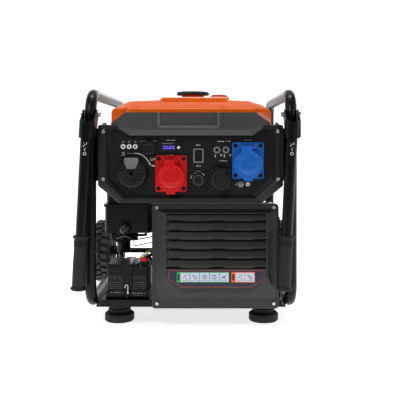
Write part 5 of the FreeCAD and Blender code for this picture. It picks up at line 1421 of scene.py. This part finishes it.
def build_cover():
    """The louvred cover: a flange with skirts, a raised middle and sloping slats over gaps painted dark as
    shade.
    """
    low, high = span("louvred_cover")
    left, right, bottom, top, back = low.x, high.x, low.z, high.z, high.y
    flange, face = low.y + 16, low.y
    mould = Mould()
    outer = rounded(rectangle(left, right, bottom, top), 8, 4)
    foot = [
        (left + 11, bottom + 21 + 10), (left + 21, bottom + 21), (right - 16, bottom + 21),
        (right - 6, bottom + 31), (right - 6, top - 16), (left + 11, top - 16)
    ]
    crest = [
        (left + 33, bottom + 80), (left + 71, bottom + 42), (right - 66, bottom + 42),
        (right - 28, bottom + 80), (right - 28, top - 20), (left + 33, top - 20)
    ]
    mould.loft(
        [(outer, back), (outer, flange + 1.2), (grown(outer, -1.2), flange)], "XZ", "cover",
        caps=(False, False)
    )
    walls = [mould.add([(p.x, flange, p.y) for p in grown(outer, -1.2)])]
    ledge = [
        Vector((left + 5, bottom + 5)), Vector((right - 5, bottom + 5)), Vector((right - 5, top - 5)),
        Vector((left + 5, top - 5))
    ]
    inner_ring = rounded(ledge, 5, 4)
    lip = [mould.add([(p.x, flange, p.y) for p in inner_ring])]
    for i in range(len(outer)):
        after = (i + 1) % len(outer)
        mould.face([walls[0][i], walls[0][after], lip[0][after], lip[0][i]], "cover")
    mould.face(mould.add([(p.x, flange + 0.02, p.y) for p in inner_ring]), "cover")

    foot_ring = [Vector(p) for p in foot]
    crest_ring = [Vector(p) for p in crest]
    stations = [(foot_ring, flange + 0.4), (foot_ring, flange - 0.6)]
    stations += [
        (
            [a.lerp(b, share) for a, b in zip(foot_ring, crest_ring)],
            flange - 0.6 - (flange - face - 0.6) * share
        ) for share in (0.03, 0.97, 1.0)
    ]
    mould.loft(stations, "XZ", "cover", caps=(False, False))
    # a thin near-black sheet on the flat flange, painted shade standing in for a groove across the top
    groove_shade_sheet, strip = Mould(), rectangle(left + 12, right - 7, top - 15.6, top - 13.2)
    groove_shade_sheet.slab([Vector(p) for p in strip], "XZ", flange + 0.2, flange - 0.15, "dark", 0.05)
    groove_shade_sheet.cast("cover_top_groove_painted_shade", FRAME, "black_plastic", sharp=30)

    count = sizes().louvres
    field_left, field_right, field_top = left + 35, right - 31.5, top - 22
    pitch = 134.4 / count
    field_low = field_top - pitch * count + 3.2
    l, r, b, t = left + 33, right - 28, bottom + 42, top - 20
    for corners in (
        [(l, field_low), (l, bottom + 80), (left + 71, b), (right - 66, b), (r, bottom + 80), (r, field_low)],
        [(l, field_low), (field_left, field_low), (field_left, t), (l, t)],
        [(field_right, field_low), (r, field_low), (r, t), (field_right, t)],
        [(field_left, field_top), (field_right, field_top), (field_right, t), (field_left, t)],
    ):
        mould.face(mould.add([(x, face, z) for x, z in corners]), "cover")

    waves = [-70, -28, -15, 41, 54, 74, 87, 145, 157, 220]
    depths = [3.2, 3.2, 0.0, 0.0, 3.2, 3.2, 0.0, 0.0, 3.2, 3.2]
    columns = [field_left] + [x for x in waves if field_left < x < field_right] + [field_right]
    for k in range(count):
        z0 = field_top - pitch * k
        end = field_top - pitch * (k + 1) if k < count - 1 else field_low
        rows = []
        for column, x in enumerate(columns):
            wave = table(x, list(zip(waves, depths)))
            lip_z = z0 - pitch * 0.60 - 1.2 - 0.9 * (3.2 - wave)
            line = [
                (z0, face + 6.8), (z0 - 0.8, face + 6.6), (z0 - pitch * 0.46, face + 0.7),
                (z0 - pitch * 0.52, face + 0.15),
                (lip_z + 0.8, face + 0.1), (lip_z, face + 0.8), (lip_z + 0.2, face + 3.0),
                (lip_z + 1.4, face + 13.0),
                (end + 1.8, face + 13.0), (end, face + 6.8 if k < count - 1 else face + 1.0),
            ]
            first, last = column == 0, column == len(columns) - 1
            points = []
            for z, y in line:
                slide = 0.0
                if first:
                    slide = (y - face) * 0.85
                elif last:
                    slide = -(y - face) * 0.35
                points.append((x + slide, y, z))
            rows.append(mould.add(points))
        for a, c in zip(rows, rows[1:]):
            for i in range(len(a) - 1):
                # the underside of each slat's lip and the back of its gap take the near-black finish as
                # painted shade
                tone = "dark" if i in (6, 7) else "cover"
                mould.face([a[i], c[i], c[i + 1], a[i + 1]], tone)
        for row, x in ((rows[0], field_left), (rows[-1], field_right)):
            edge = mould.add([(x, face, mould.points[i][2]) for i in row])
            for i in range(len(row) - 1):
                mould.face([row[i], row[i + 1], edge[i + 1], edge[i]], "cover")
    for x, z in (
        (left + 12, top - 12), (left + 12, bottom + 12), (right - 12, top - 12), (right - 12, bottom + 12)
    ):
        mould.lathe(
            "y", (x, z), [
                (flange + 0.5, 8.6), (flange - 1.0, 8.2), (flange - 1.3, 7.6), (flange - 1.3, 6.2),
                (flange - 0.6, 5.8), (flange - 0.6, 0)
            ], "cover", 32
        )
    mould.cast("louvred_cover_moulding", FRAME, "dark_moulding", ("louvred_cover",), sharp=14, edge=0.5)


def pictogram(kind, x, z, s):
    """A small generic operating sign: bars, rings and arrows in a square."""
    if kind == 0:
        return stroke(
            [
                (x - s, z - s * 0.5), (x - 0.2 * s, z + 0.1 * s), (x - s * 0.2, z + s),
                (x + s * 0.2, z + s * 0.1), (x + s, z + s * 0.9)
            ], 1.1
        )
    if kind == 1:
        return stroke(
            [(x - s, z + s * 0.6), (x - s * 0.3, z + s * 0.6), (x - s * 0.3, z - s * 0.2)], 1.7
        ) + ring_mark(x + s * 0.4, z - s * 0.3, s * 0.45, 0.9)
    if kind == 2:
        return ring_mark(x, z, s * 0.8, 1.1) + ring_mark(x, z, s * 0.3, 0.8) + stroke(
            [(x, z), (x + s * 0.6, z + s * 0.6)], 0.9
        )
    if kind == 3:
        return ring_mark(x - s * 0.1, z, s * 0.75, 1.2) + stroke(
            [(x - s * 0.7, z - s * 0.5), (x + s * 0.6, z + s * 0.5)], 0.9
        )
    return stroke(
        [(x - s, z - s), (x - s * 0.5, z + s * 0.5), (x + s * 0.1, z - s * 0.2), (x + s * 0.9, z + s * 0.9)],
        1.2
    ) + ring_mark(x, z - s * 0.1, s * 0.35, 1.0)


def build_label():
    """The label on the cover: a dark field with an outline and two strips of generic signs."""
    low, high = span("louvred_cover")
    left, right, bottom, face = low.x, high.x, low.z, low.y
    outline = [
        (left + 40, bottom + 96), (left + 40, bottom + 74), (left + 72, bottom + 54),
        (right - 66, bottom + 54), (right - 35, bottom + 74), (right - 35, bottom + 96)
    ]
    field = Mould()
    field.slab(rounded(outline, 0.8, 2), "XZ", face, face - 0.25, "label", 0.05)
    field.cast("cover_label_film", FRAME, "label", ("cover_label",), sharp=30)
    at = on_face(face - 0.32)
    shrink = [tuple(p) for p in grown([Vector(p) for p in outline], -1.4)]
    print_marks("label_outline", FRAME, "label", "copper_line", stroke(shrink + [shrink[0]], 1.15), at)
    low_z, high_z = bottom + 66.5, bottom + 91
    green = [rectangle(-32.5, 92, low_z, high_z)]
    orange = [rectangle(97.5, 153.5, low_z, high_z)]
    print_marks("label_green_strip", FRAME, "label", "green", green, at)
    print_marks("label_orange_strip", FRAME, "label", "orange", orange, at)
    tile_at, sign_at = on_face(face - 0.38), on_face(face - 0.44)
    tiles, signs, accents = [], [], []
    starts = [-23.6 + 23.2 * i for i in range(5)] + [107.6 + 23.0 * i for i in range(2)]
    for i, x in enumerate(starts):
        wide = 21.4
        tiles.append(rectangle(x, x + wide, low_z + 1.4, high_z - 1.4))
        signs += pictogram(i % 5, x + wide / 2, (low_z + high_z) / 2 + 0.6, 6.4)
        signs += lettering(x + 3, x + wide - 3, low_z + 4.2, 1.1, random.Random(i), 0.7)
        accents += stroke([(x + wide - 5.5, low_z + 6.5), (x + wide - 9.5, low_z + 9.5)], 1.5)
    signs += [
        rectangle(-30.6, -26.6, low_z + 5, high_z - 5)
    ] + [rectangle(99.6, 104.4, low_z + 5, high_z - 5)]
    print_marks("label_tiles", FRAME, "label", "tile", tiles, tile_at)
    print_marks("label_signs", FRAME, "label", "dark", signs, sign_at)
    print_marks("label_accents", FRAME, "label", "orange", accents, on_face(face - 0.5))


# -------------------------------------------------------------------------- engine and battery


def build_engine():
    """Dresses the engine, the alternator and the inverter behind the panel."""
    for node, tone, edge in (
        ("inverter_module", "dark_metal", 0.8), ("alternator_plate", "tubes", 0.6),
        ("alternator_stator", "windings", 0.4),
        ("rotor", "worn_steel", 0.5), ("engine_block", "cast", 0.9), ("cylinder", "cast", 0.4),
        ("flywheel_cover", "tubes", 0.7),
        ("muffler", "heated", 0.6), ("carburettor", "sooty", 0.4), ("fuel_tap", "rubber", 0.4),
    ):
        dress(node, tone, edge)


def build_air_filter():
    """The ridge on the air filter's case, its ball knob with a fin, and the throttle's two rods."""
    dress("air_filter_box", "air_case", 1.2)
    front = -235.0
    ridge = Mould()
    path = [
        (-206, 246.5), (-176, 251), (-160, 253.5), (-146, 256.5), (-141, 262), (-139.6, 270), (-139.6, 287)
    ]
    rounded_path = [Vector(path[0])]
    for before, here, after in zip(path, path[1:], path[2:]):
        rounded_path += turn_corner(Vector(before), Vector(here), Vector(after), 6, 3)
    rounded_path.append(Vector(path[-1]))
    ridge.pipe([(p.x, front - 0.2, p.y) for p in rounded_path], 1.5, "air_case", 10)
    ridge.cast("air_filter_ridge", FRAME, "black_plastic", sharp=50)
    x, z, back = -165.0, 234.0, -236.2
    knob = Mould()
    profile = [
        (back, 3.4), (back, 8), (back - 2, 10.4), (back - 5, 13), (back - 9, 14), (back - 13, 13.4),
        (back - 17, 11), (back - 20, 7.6), (back - 22, 3), (back - 22.4, 0)
    ]
    knob.lathe(
        "y", (x, z), profile, "fitting", 48, wave=lambda turn,
        y: 1 - 0.03 * smooth_step(math.cos(turn * 8), 0.2, 0.9)
    )
    fin = rounded(
        [(x - 2.2, z - 13.4), (x + 2.2, z - 13.4), (x + 2.2, z + 13.4), (x - 2.2, z + 13.4)], 1.6, 4
    )
    knob.loft([(fin, back - 8), (fin, back - 22.4), (grown(fin, -0.9), back - 23.6)], "XZ", "fitting")
    knob.cast("air_filter_ball_knob", "filter_knob", "black_plastic", ("air_filter_knob",), sharp=36)
    rods = Mould()
    rods.pipe(
        [
            (-196, -178, 200), (-176, -180, 206), (-164, -180, 203), (-150, -176, 196), (-128, -150, 196),
            (-104, -120, 197), (-90, -100, 199)
        ], 1.5, "worn_steel", 10
    )
    rods.pipe(
        [
            (-150, -176, 196), (-153, -178, 186), (-146, -176, 181), (-128, -150, 181), (-100, -118, 183),
            (-90, -104, 184)
        ], 1.3, "worn_steel", 10
    )
    rods.cast("throttle_rods", FRAME, "steel", sharp=60)


def build_battery():
    """The battery's print and ribs, the tray's hook bolt, the two leads and the earth wire."""
    dress("battery", "battery", 0.9)
    dress("battery_tray", "tubes", 0.6)
    left, right, front = -206.0, -106.0, span("battery")[0].y
    print_low, print_high = 88.0, 118.0
    rng = random.Random(8)
    trim = []
    for x0, x1 in ((left + 6, left + 35), (left + 64, right - 6)):
        trim += stroke(
            [(x0, print_high), (x1, print_high), (x1, print_low), (x0, print_low), (x0, print_high)], 0.9
        )
        for k in range(5):
            trim += lettering(x0 + 2.5, x1 - 2.5, print_high - 4.5 - 5 * k, 1.6, rng)
    print_marks("battery_print", FRAME, "black_plastic", "dim_marks", trim, on_face(front + 0.85))
    signs = lettering(left + 8, left + 36, 80, 1.8, rng) + lettering(left + 62, right - 8, 78, 3.0,
        rng) + lettering(
        left + 66, right - 14, 73, 1.4, rng
    )
    print_marks("tray_print", FRAME, "black_plastic", "grey_marks", signs, on_face(-265.62))
    ribs = Mould()
    for z in (108, 114, 120, 126):
        ribs.slab(
            rounded(rectangle(left + 3, right - 3, z, z + 1.6), 0.6, 2), "XZ", front + 1.2, front + 0.55,
            "battery", 0.2
        )
    ribs.cast("battery_ribs", FRAME, "black_plastic", sharp=30)
    hook = Mould()
    hx, hy = -157.0, span("battery_tray")[0].y + 1.4
    path = [
        (hx - 4.4, hy, 93), (hx - 4.6, hy, 97), (hx - 2.5, hy, 100.2), (hx + 1.0, hy, 100.4),
        (hx + 2.4, hy, 97.6), (hx + 2.4, hy, 90), (hx + 2.4, hy, 78)
    ]
    hook.pipe(path, 1.35, "zinc", 12)
    hook.lathe("z", (hx + 2.4, hy), [(80, 0), (80, 3.4), (83.6, 3.4), (83.6, 0)], "zinc", 6)
    hook.cast("battery_hook_bolt", FRAME, "zinc", sharp=40)

    leads = Mould()
    x = right - 11
    boot = rounded(rectangle(x - 10, x + 10, front + 3, front + 29), 4, 4)
    leads.loft(
        [
            (grown(boot, -0.8), 155.0), (boot, 156), (grown(boot, -0.8), 160), (grown(boot, -3), 163.4),
            (grown(boot, -5), 164.2)
        ], "XY", "boot"
    )
    red_lead = [
        (x, front + 20, 159), (x + 6, front + 30, 161.6), (x + 15, front + 40, 165.4),
        (x + 18, front + 62, 169),
        (x + 22, front + 78, 172), (x + 52, front + 88, 172), (x + 88, front + 94, 172),
    ]
    leads.pipe(red_lead, [5.2, 4.6, 4.0, 4.0, 4.0, 4.0, 4.0], "fitting", 14)
    clamp = rounded(rectangle(x - 8, x + 8, -197, -179), 3, 4)
    leads.loft([(clamp, 154.8), (clamp, 158.8), (grown(clamp, -1), 159.8)], "XY", "worn_steel")
    leads.pipe(
        [
            (x, -182, 157), (x, -160, 156), (x + 3, -140, 148), (x + 10, -112, 124), (x + 21, -82, 92),
            (x + 28, -66, 72), (x + 32, -50, 56)
        ], 4.0, "fitting", 14
    )
    leads.cast("battery_leads", FRAME, "cable", ("battery_cables",), sharp=44)

    wire = Mould()
    path = [
        (-128.5, -247, 156), (-128, -249, 159.5), (-126, -252, 164), (-121, -254, 170), (-113, -255, 176.5),
        (-104, -254, 181), (-96, -250, 183.5), (-87, -240, 184), (-84, -218, 184), (-84, -206, 184)
    ]
    smooth_path = []
    for i in range(len(path) - 1):
        p0, p1, p2, p3 = (Vector(path[max(0, min(len(path) - 1, i + k))]) for k in (-1, 0, 1, 2))
        for k in range(6):
            t = k / 6
            smooth_path.append(
                0.5 * (
                    (2 * p1) + (p2 - p0) * t + (2 * p0 - 5 * p1 + 4 * p2 - p3) * t * t
                    + (3 * p1 - p0 - 3 * p2 + p3) * t ** 3
                )
            )
    smooth_path.append(Vector(path[-1]))
    wire.pipe(smooth_path, 1.55, "wire", 12)
    wire.lathe(
        "z", (-128.5, -247), [(153.6, 0), (153.6, 4.6), (155.2, 4.6), (155.6, 3.0), (157.6, 2.8), (157.6, 0)],
        "zinc", 24
    )
    wire.cast("earth_wire", FRAME, "cable", sharp=60)


# ---------------------------------------------------------------------------------- stage


FLOOR_REACH, CURVE_START, CURVE_RADIUS = 9000, 3200, 2200


def build_stage():
    """A pale floor that curves up behind, soft lights and the camera."""
    mould = Mould()
    turns = [math.pi / 2 * i / 16 for i in range(1, 17)]
    depth = [(-FLOOR_REACH, 0), (CURVE_START, 0)]
    depth += [
        (CURVE_START + CURVE_RADIUS * math.sin(a), CURVE_RADIUS - CURVE_RADIUS * math.cos(a)) for a in turns
    ]
    depth.append((CURVE_START + CURVE_RADIUS, 8000))
    rows = [mould.add([(x, y, z - 0.4) for x in (-FLOOR_REACH, FLOOR_REACH)]) for y, z in depth]
    for a, b in zip(rows, rows[1:]):
        mould.face([a[0], a[1], b[1], b[0]], "floor")
    mesh = bpy.data.meshes.new("studio_floor")
    mesh.from_pydata([[c * MM for c in p] for p in mould.points], [], mould.faces)
    mesh.materials.append(finish("floor"))
    mesh.polygons.foreach_set("use_smooth", [True] * len(mesh.polygons))
    floor = bpy.data.objects.new("studio_floor", mesh)
    bpy.context.scene.collection.objects.link(floor)

    target = Vector((0, -0.1, 0.3))
    for name, place, size, power in (
        ("key_light", (-1.3, -2.4, 2.3), (1.3, 0.9), 30), ("fill_light", (2.3, -2.2, 1.3), (1.0, 1.6), 12),
        ("top_light", (0.0, 0.1, 2.9), (2.0, 1.6), 8), ("lip_light", (0.0, -0.11, 2.8), (1.6, 0.3), 26),
        ("left_strip", (-2.4, -0.5, 0.8), (0.4, 2.2), 9), ("right_strip", (2.5, -0.2, 0.8), (0.4, 2.2), 12),
        ("rear_light", (0.4, 3.0, 1.6), (2.0, 1.4), 14),
    ):
        lamp = bpy.data.lights.new(name, "AREA")
        lamp.shape, lamp.size, lamp.size_y, lamp.energy = "RECTANGLE", size[0], size[1], power
        lit = bpy.data.objects.new(name, lamp)
        lit.location = place
        lit.rotation_euler = (target - Vector(place)).to_track_quat("-Z", "Y").to_euler()
        bpy.context.scene.collection.objects.link(lit)

    world = bpy.data.worlds.new("studio")
    world.use_nodes = True
    world.node_tree.nodes["Background"].inputs[0].default_value = (1, 1, 1, 1)
    world.node_tree.nodes["Background"].inputs[1].default_value = 0.13
    bpy.context.scene.world = world

    camera = bpy.data.objects.new("camera", bpy.data.cameras.new("camera"))
    camera.location = (0.043, -1.932, 0.462)
    camera.rotation_euler = (math.pi / 2, 0, 0)
    camera.data.lens, camera.data.sensor_width = 60.9, 36
    camera.data.shift_x, camera.data.shift_y = -0.0213, -0.1567
    camera.data.clip_end = 60
    bpy.context.scene.collection.objects.link(camera)
    bpy.context.scene.camera = camera
    view = bpy.context.scene.view_settings
    view.view_transform, view.look, view.exposure, view.gamma = "Standard", "None", 0.0, 1.0


# ------------------------------------------------------------------------------ the add-on


class GENERATOR_OT_frame(bpy.types.Operator):
    """Paint the tube frame, the base, the feet and the bolts"""

    bl_idname = "generator.frame"
    bl_label = "Frame"

    def execute(self, context):
        build_frame()
        return {"FINISHED"}


class GENERATOR_OT_grips(bpy.types.Operator):
    """Build the rubber grips and the signs on the handles"""

    bl_idname = "generator.grips"
    bl_label = "Grips"

    def execute(self, context):
        build_grips()
        return {"FINISHED"}


class GENERATOR_OT_wheels(bpy.types.Operator):
    """Build the tyres' treads and dress the rims"""

    bl_idname = "generator.wheels"
    bl_label = "Wheels"

    def execute(self, context):
        build_wheels()
        return {"FINISHED"}


class GENERATOR_OT_tank(bpy.types.Operator):
    """Build the pressed tank"""

    bl_idname = "generator.tank"
    bl_label = "Tank"

    def execute(self, context):
        build_tank()
        return {"FINISHED"}


class GENERATOR_OT_cap(bpy.types.Operator):
    """Build the ribbed fuel cap"""

    bl_idname = "generator.cap"
    bl_label = "Fuel cap"

    def execute(self, context):
        build_cap()
        return {"FINISHED"}


class GENERATOR_OT_shroud(bpy.types.Operator):
    """Build the beam under the tank's front"""

    bl_idname = "generator.shroud"
    bl_label = "Tank shroud"

    def execute(self, context):
        build_shroud()
        return {"FINISHED"}


class GENERATOR_OT_bezel(bpy.types.Operator):
    """Build the frame round the panel"""

    bl_idname = "generator.bezel"
    bl_label = "Panel bezel"

    def execute(self, context):
        build_bezel()
        return {"FINISHED"}


class GENERATOR_OT_sockets(bpy.types.Operator):
    """Build the two big sockets and their sprung lids"""

    bl_idname = "generator.sockets"
    bl_label = "Power sockets"

    def execute(self, context):
        build_power_sockets()
        return {"FINISHED"}


class GENERATOR_OT_household(bpy.types.Operator):
    """Build the household socket"""

    bl_idname = "generator.household"
    bl_label = "Household socket"

    def execute(self, context):
        build_household_socket()
        return {"FINISHED"}


class GENERATOR_OT_dial(bpy.types.Operator):
    """Build the control dial"""

    bl_idname = "generator.dial"
    bl_label = "Control dial"

    def execute(self, context):
        build_dial()
        return {"FINISHED"}


class GENERATOR_OT_display(bpy.types.Operator):
    """Build the display and its numerals"""

    bl_idname = "generator.display"
    bl_label = "Display"

    def execute(self, context):
        build_display()
        return {"FINISHED"}


class GENERATOR_OT_fittings(bpy.types.Operator):
    """Build the small fittings of the panel"""

    bl_idname = "generator.fittings"
    bl_label = "Small fittings"

    def execute(self, context):
        build_small_fittings()
        return {"FINISHED"}


class GENERATOR_OT_marks(bpy.types.Operator):
    """Print the panel's generic signs"""

    bl_idname = "generator.marks"
    bl_label = "Panel signs"

    def execute(self, context):
        build_panel_marks()
        return {"FINISHED"}


class GENERATOR_OT_cover(bpy.types.Operator):
    """Build the louvred cover"""

    bl_idname = "generator.cover"
    bl_label = "Louvred cover"

    def execute(self, context):
        build_cover()
        return {"FINISHED"}


class GENERATOR_OT_label(bpy.types.Operator):
    """Build the cover's label"""

    bl_idname = "generator.label"
    bl_label = "Label"

    def execute(self, context):
        build_label()
        return {"FINISHED"}


class GENERATOR_OT_engine(bpy.types.Operator):
    """Dress the engine, alternator and inverter"""

    bl_idname = "generator.engine"
    bl_label = "Engine"

    def execute(self, context):
        build_engine()
        return {"FINISHED"}


class GENERATOR_OT_air_filter(bpy.types.Operator):
    """Build the air filter's ridge and knob"""

    bl_idname = "generator.air_filter"
    bl_label = "Air filter"

    def execute(self, context):
        build_air_filter()
        return {"FINISHED"}


class GENERATOR_OT_battery(bpy.types.Operator):
    """Build the battery's fittings and leads"""

    bl_idname = "generator.battery"
    bl_label = "Battery"

    def execute(self, context):
        build_battery()
        return {"FINISHED"}


class GENERATOR_OT_stage(bpy.types.Operator):
    """Set up the floor, the lights and the camera"""

    bl_idname = "generator.stage"
    bl_label = "Stage"

    def execute(self, context):
        build_stage()
        return {"FINISHED"}


OPERATORS = (
    GENERATOR_OT_stage, GENERATOR_OT_frame, GENERATOR_OT_grips, GENERATOR_OT_wheels, GENERATOR_OT_tank,
    GENERATOR_OT_cap,
    GENERATOR_OT_shroud, GENERATOR_OT_bezel, GENERATOR_OT_sockets, GENERATOR_OT_household, GENERATOR_OT_dial,
    GENERATOR_OT_display, GENERATOR_OT_fittings, GENERATOR_OT_marks, GENERATOR_OT_cover, GENERATOR_OT_label,
    GENERATOR_OT_engine, GENERATOR_OT_air_filter, GENERATOR_OT_battery,
)


class GENERATOR_PT_looks(bpy.types.Panel):
    """Lists the generator's settings and the operators that build it"""

    bl_label = "Inverter generator"
    bl_space_type = "VIEW_3D"
    bl_region_type = "UI"
    bl_category = "Generator"

    def draw(self, context):
        column = self.layout.column()
        for settings in (context.scene.generator_colours, context.scene.generator_sizes):
            for name in settings.bl_rna.properties.keys():
                if name not in ("rna_type", "name"):
                    column.prop(settings, name)
        for operator in OPERATORS:
            column.operator(operator.bl_idname)


CLASSES = (GeneratorColours, GeneratorSizes, *OPERATORS, GENERATOR_PT_looks)


def register():
    for c in CLASSES:
        bpy.utils.register_class(c)
    bpy.types.Scene.generator_colours = bpy.props.PointerProperty(type=GeneratorColours)
    bpy.types.Scene.generator_sizes = bpy.props.PointerProperty(type=GeneratorSizes)


def unregister():
    del bpy.types.Scene.generator_sizes
    del bpy.types.Scene.generator_colours
    for c in reversed(CLASSES):
        bpy.utils.unregister_class(c)


def main():
    register()
    for operator in OPERATORS:
        group, name = operator.bl_idname.split(".")
        result = getattr(getattr(bpy.ops, group), name)()
        if result != {"FINISHED"}:
            raise RuntimeError(operator.bl_label + " did not finish")


if __name__ == "__main__":
    main()
